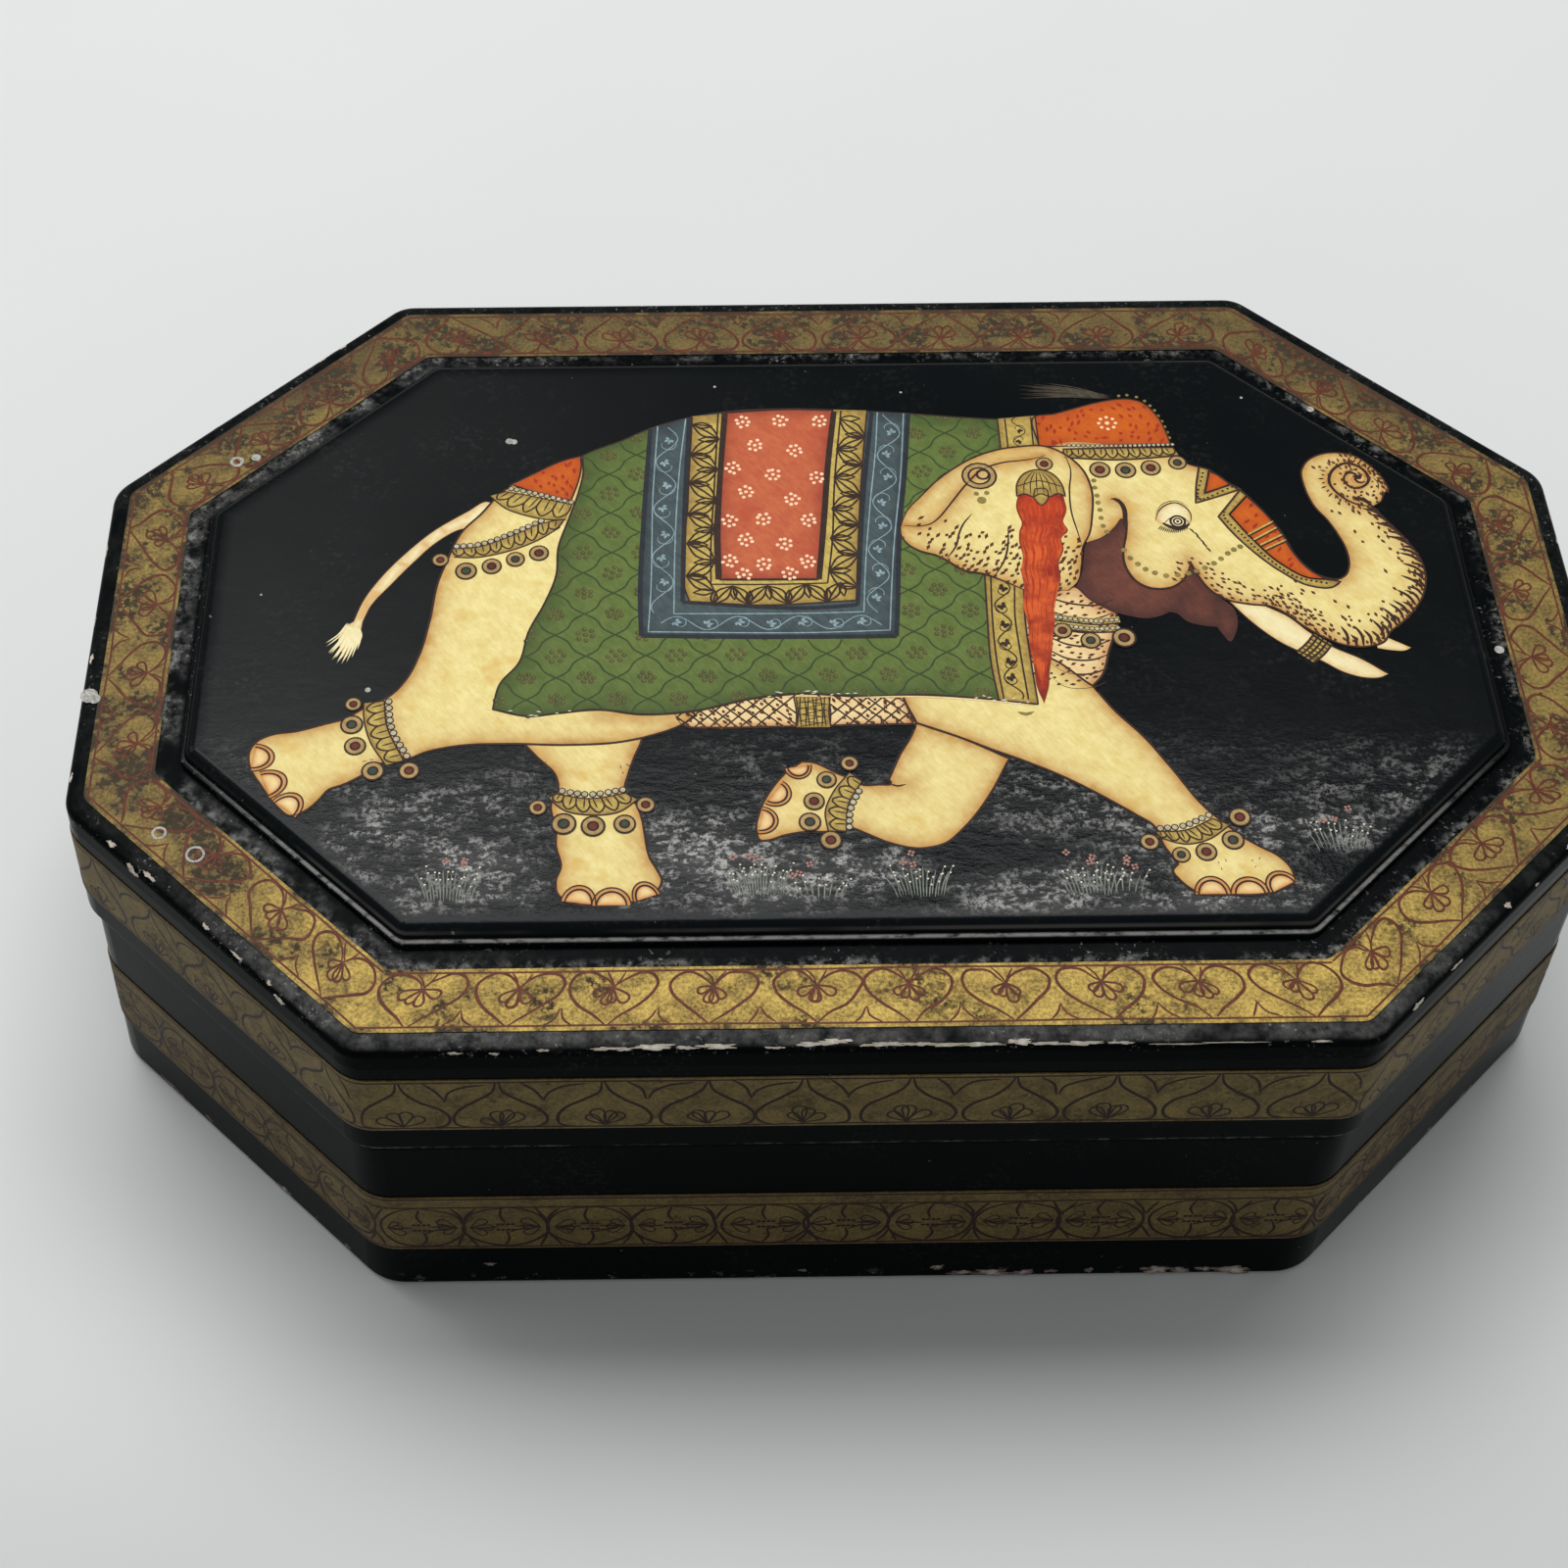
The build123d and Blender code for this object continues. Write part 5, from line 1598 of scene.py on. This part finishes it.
def seam_wear_and_highlight(x, y, z, place):
    """A pale line on the lid's lower edge, broken into short stretches: rubbed wear, and a painted highlight
    where the rounded edge catches the light.
    """
    edge = z.rise(lid_foot + 0.7, lid_foot + 0.35) * noise(place, 7.0, 3.0, 0.7).rise(0.42, 0.6)
    return edge * noise(place, 0.8, 3.0, 0.7).rise(0.35, 0.6) * 0.2, 0.0


def foot_wear(x, y, z, place):
    """Scuffs near the foot."""
    return z.rise(3.0, 0.6) * noise(place, 1.4, 3.0, 0.7).rise(0.6, 0.68) * 0.25, 0.0


finishes = {
    "base_wall": lacquer("black lacquer base", (2, 5, 6), 0.25, 0.02, foot_wear, gloss=0.015),
    "lid_wall": lacquer("black lacquer lid wall", (3, 7, 8), 0.25, 0.02, seam_wear_and_highlight, gloss=0.015),
    "lid_top": lacquer("black lacquer rim", (6, 9, 10), 0.4, 0.04, lid_dust_and_sheen, gloss=0.008),
    "lid_panel": lacquer("picture lacquer", (6, 10, 12), 0.3, 0.03, panel_wear_and_sheen, gloss=0.07),
    "base_floor": lacquer("inner lacquer floor", (26, 21, 20), 0.4, 0.25),
    "base_collar": lacquer("inner lacquer collar", (25, 20, 20), 0.3, 0.15),
}
print(len(finishes), "lacquer finishes")

# %% [markdown]
# ## Gilding
#
# Bronze powder in varnish gives a granular gold: bright and dull grains side by side,
# darker where it is rubbed and dusty near the edges. On the border both ends are darker
# by painted shade, and the back strip is darker too. On the walls it is mixed darker.

# %% Gold finish
def gilt(name, bright, dull, soil_and_shade, edge_dust_and_shade=False, dirt=0.6):
    """Granular gold: fine noise mixes bright and dull grains, coarse noise lays brown dirt over them. With
    edge dust and shade it adds dust along both edges, dirt at the front left, painted shade at both ends and
    a darker back.
    """
    material, shader, place, x, y, z = finish(name)
    grain = noise(place, 0.34, 3.0, 0.75)
    blotch = noise(place, 5.0, 4.0, 0.65)
    glitter = grain.rise(0.32, 0.68) * 0.62 + noise(place, 2.4, 3.0, 0.6).rise(0.3, 0.7) * 0.45
    gold = glitter.colours(pigment(*dull), pigment(*bright))
    grime_and_shade = blotch.rise(0.46, 0.66) * noise(place, 0.7, 3.0, 0.65).rise(0.4, 0.6) * dirt
    grime_and_shade = grime_and_shade + noise(place, 1.0, 2.0).rise(0.7, 0.76) * 0.5
    rough = 0.5 + 0.2 * grime_and_shade + 0.12 * grain
    if edge_dust_and_shade:
        inset = inset_of(x, y)
        inner = inset.rise(border_inner - 1.0, border_inner) * blotch.rise(0.4, 0.6) * 0.5
        outer = inset.rise(border_outer + 0.7, border_outer) * blotch.rise(0.4, 0.6) * 0.5
        worn_end = x.rise(0.0, -55.0) * y.rise(10.0, -25.0) * blotch.rise(0.42, 0.6) * 0.35
        # Painted shade: both ends of the border turn to the dark soil tone, where the gold catches less of
        # the lamp. The back strip is darkened too.
        shaded_ends = x.maths("ABSOLUTE").rise(44.0, 68.0) * 0.55
        back = y.rise(18.0, 42.0) * 0.75
        grime_and_shade = (grime_and_shade + inner + outer + worn_end + shaded_ends + back).maths("MINIMUM", 1.0)
    colour = grime_and_shade.colours(gold, pigment(*soil_and_shade))
    connect(shader, Base_Color=colour, Metallic=0.15, Roughness=rough, Specular_IOR_Level=0.2,
            Normal=bumped(grain + 0.6 * blotch, 0.05, 0.45))
    return material


finishes["gilt_border_top"] = gilt(
    "gilding of the border", (204, 174, 88), (90, 68, 28), (58, 48, 32), edge_dust_and_shade=True, dirt=1.0)
finishes["gilt_band_lid"] = gilt("gilding of the lid", (124, 106, 58), (76, 62, 32), (42, 36, 22))
finishes["gilt_band_base"] = gilt("gilding of the base", (112, 94, 50), (68, 54, 27), (36, 30, 18))
for node, material in finishes.items():
    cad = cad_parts[node]
    cad.data.materials.clear()
    cad.data.materials.append(material)
print("CAD nodes finished:", sorted(finishes))

# %% [markdown]
# ## Opaque paints
#
# Opaque watercolour under varnish is even but never flat: the brush leaves streaks and
# the wash pools at the edges. Every paint is mixed from a light and a dark tone by
# noise, and turns towards an edge tone where the stroke's own shade value is high.

# %% Paint finish
def brushed(name, light, dark, edge=None, size=1.6, streak=0.5, shine=0.42, edge_share=0.85, stain=None):
    """A paint: two tones by noise, an edge tone where the shade attribute is high, and brush relief."""
    material, shader, place, *_ = finish(name)
    shade = place.node("ShaderNodeAttribute", 2, {"attribute_name": "shade"})
    wash = noise(place, size, 3.0, 0.6)
    along = place.node("ShaderNodeVectorRotate", 0, {"rotation_type": "Z_AXIS"}, Vector=place, Angle=0.9)
    drawn_out = along.node("ShaderNodeVectorMath", 0, {"operation": "MULTIPLY"}, _0=along, _1=(0.3, 1.0, 1.0))
    hairs = noise(drawn_out, 0.3, 2.0, 0.7)
    mixed = wash.rise(0.3, 0.7) * (1 - streak) + hairs.rise(0.3, 0.7) * streak
    tone = mixed.colours(pigment(*light), pigment(*dark))
    if edge:
        pool = (shade * edge_share * (0.6 + 0.8 * wash)).maths("MINIMUM", 1.0)
        tone = pool.colours(tone, pigment(*edge))
    if stain:
        tone = (noise(place, 4.0, 3.0, 0.6).rise(0.56, 0.72) * 0.6).colours(tone, pigment(*stain))
    connect(shader, Base_Color=tone, Roughness=shine + 0.18 * hairs, Specular_IOR_Level=0.16,
            Normal=bumped(wash + 0.5 * hairs, 0.02, 0.3))
    return material


brush_habits = {
    "cream_body": dict(stain=(212, 172, 88)),
    "nail_shade": dict(edge_share=1.0),
    "gold_leafwork": dict(size=0.6),
    "salmon_panel": dict(stain=(176, 70, 44)),
    "red_tassel": dict(size=3.0, streak=0.2),
    "tassel_streaks": dict(size=2.4, streak=0.1),
    "grass_tufts": dict(streak=0.3),
}
for name, tones in paint_tones.items():
    paints[name].make(brushed(name.replace("_", " ") + " paint", *tones, **brush_habits.get(name, {})))
border_ink.make(brushed("dark red line work", (106, 50, 28), (68, 30, 18)))
wall_line_work = brushed("line work of the walls", (46, 20, 12), (26, 12, 8))
lid_ink.make(wall_line_work)
base_ink.make(wall_line_work)
gesso.make(brushed("bare gesso", (250, 248, 240), (206, 198, 182), edge=(150, 136, 114), size=0.6, shine=0.6,
                   edge_share=0.6))
pulp.make(brushed("bare pulp", (214, 202, 192), (156, 142, 134), edge=(84, 72, 66), size=0.6, shine=0.7))
splashes.make(brushed("dried splashes", (192, 190, 184), (122, 120, 114), size=0.4, shine=0.5))

# %% [markdown]
# ## Table, light and camera
#
# The box stands on a pale matt table, whose colour darkens towards the front as painted
# shade. A wide soft lamp above and behind it gives the sheen on the picture and leaves
# the front wall in its own shade, as a window behind the table does, and a pale sky fills the rest.

# %% Table
table_half, table_lines = 1.6, 25
sweep_start, sweep_rate, table_drop = 0.9, 1.4, 0.00002
table_mesh = bpy.data.meshes.new("table_top")
steps = between(-1, 1, table_lines)
table_x, table_y = np.meshgrid(steps * table_half, steps * table_half)
sweep = np.maximum(table_y - sweep_start, 0) ** 2 * sweep_rate
table_points = np.stack([table_x, table_y, sweep - table_drop], axis=-1).reshape(-1, 3)
index = np.arange(table_lines**2).reshape(table_lines, table_lines)
quads = np.stack([index[:-1, :-1], index[:-1, 1:], index[1:, 1:], index[1:, :-1]], -1).reshape(-1, 4)
table_mesh.from_pydata(table_points.tolist(), [], quads.tolist())
table_top = bpy.data.objects.new("table_top", table_mesh)
bpy.context.scene.collection.objects.link(table_top)
table_finish, table_shader, table_place, _, table_depth, _ = finish("matt table")
table_tone = noise(table_place, 60.0, 2.0).colours(pigment(211, 213, 212), pigment(216, 218, 217))
# Painted shade: the table's colour turns darker towards the front of the box, for light that falls off there.
connect(table_shader, Base_Color=table_depth.rise(-48.0, -100.0).colours(table_tone, pigment(196, 199, 198)),
        Roughness=0.75, Specular_IOR_Level=0.2, Normal=bumped(noise(table_place, 0.8, 2.0), 0.02, 0.15))
table_mesh.materials.append(table_finish)
print("table laid")

# %% Lamps and sky
def lamp(name, place, size, power, roll=0.0):
    """A soft rectangular lamp at place that faces the box, rolled about its own axis by some degrees."""
    light = bpy.data.lights.new(name, "AREA")
    light.shape, light.size, light.size_y = "RECTANGLE", size[0], size[1]
    light.energy = power
    holder = bpy.data.objects.new(name, light)
    holder.location = place
    facing = (-Vector(place)).to_track_quat("-Z", "Y").to_matrix().to_4x4()
    holder.rotation_euler = (facing @ Matrix.Rotation(math.radians(roll), 4, "Z")).to_euler()
    bpy.context.scene.collection.objects.link(holder)


lamp("window_lamp", (-0.08, 0.44, 1.14), (0.98, 0.5), 12.4, roll=-14)
lamp("room_lamp", (-0.9, 0.4, 0.8), (0.5, 0.5), 1.6)
sky_colour, sky_strength = (0.98, 0.99, 1.0, 1.0), 0.33
world = bpy.data.worlds.new("sky")
world.use_nodes = True
world.node_tree.nodes["Background"].inputs["Color"].default_value = sky_colour
world.node_tree.nodes["Background"].inputs["Strength"].default_value = sky_strength
bpy.context.scene.world = world
bpy.context.scene.view_settings.view_transform = "Standard"
print("lamps set")

# %% Camera
film_width, lens = 36.0, 56.4
lens_shift = 0.0588, 0.00375
camera_place = -0.0168, -0.1559, 0.2411
pan, tilt, roll = (math.radians(angle) for angle in (-0.69, 35.0, -0.07))
camera_data = bpy.data.cameras.new("camera")
camera_data.sensor_width, camera_data.lens = film_width, lens
camera_data.shift_x, camera_data.shift_y = lens_shift
camera_data.clip_start, camera_data.clip_end = 0.01, 10.0
camera = bpy.data.objects.new("camera", camera_data)
turned = Matrix.Rotation(pan, 4, "Z") @ Matrix.Rotation(tilt, 4, "X") @ Matrix.Rotation(roll, 4, "Z")
camera.matrix_world = Matrix.Translation(camera_place) @ turned
bpy.context.scene.collection.objects.link(camera)
bpy.context.scene.camera = camera
print("camera at", [round(c, 4) for c in camera.location])
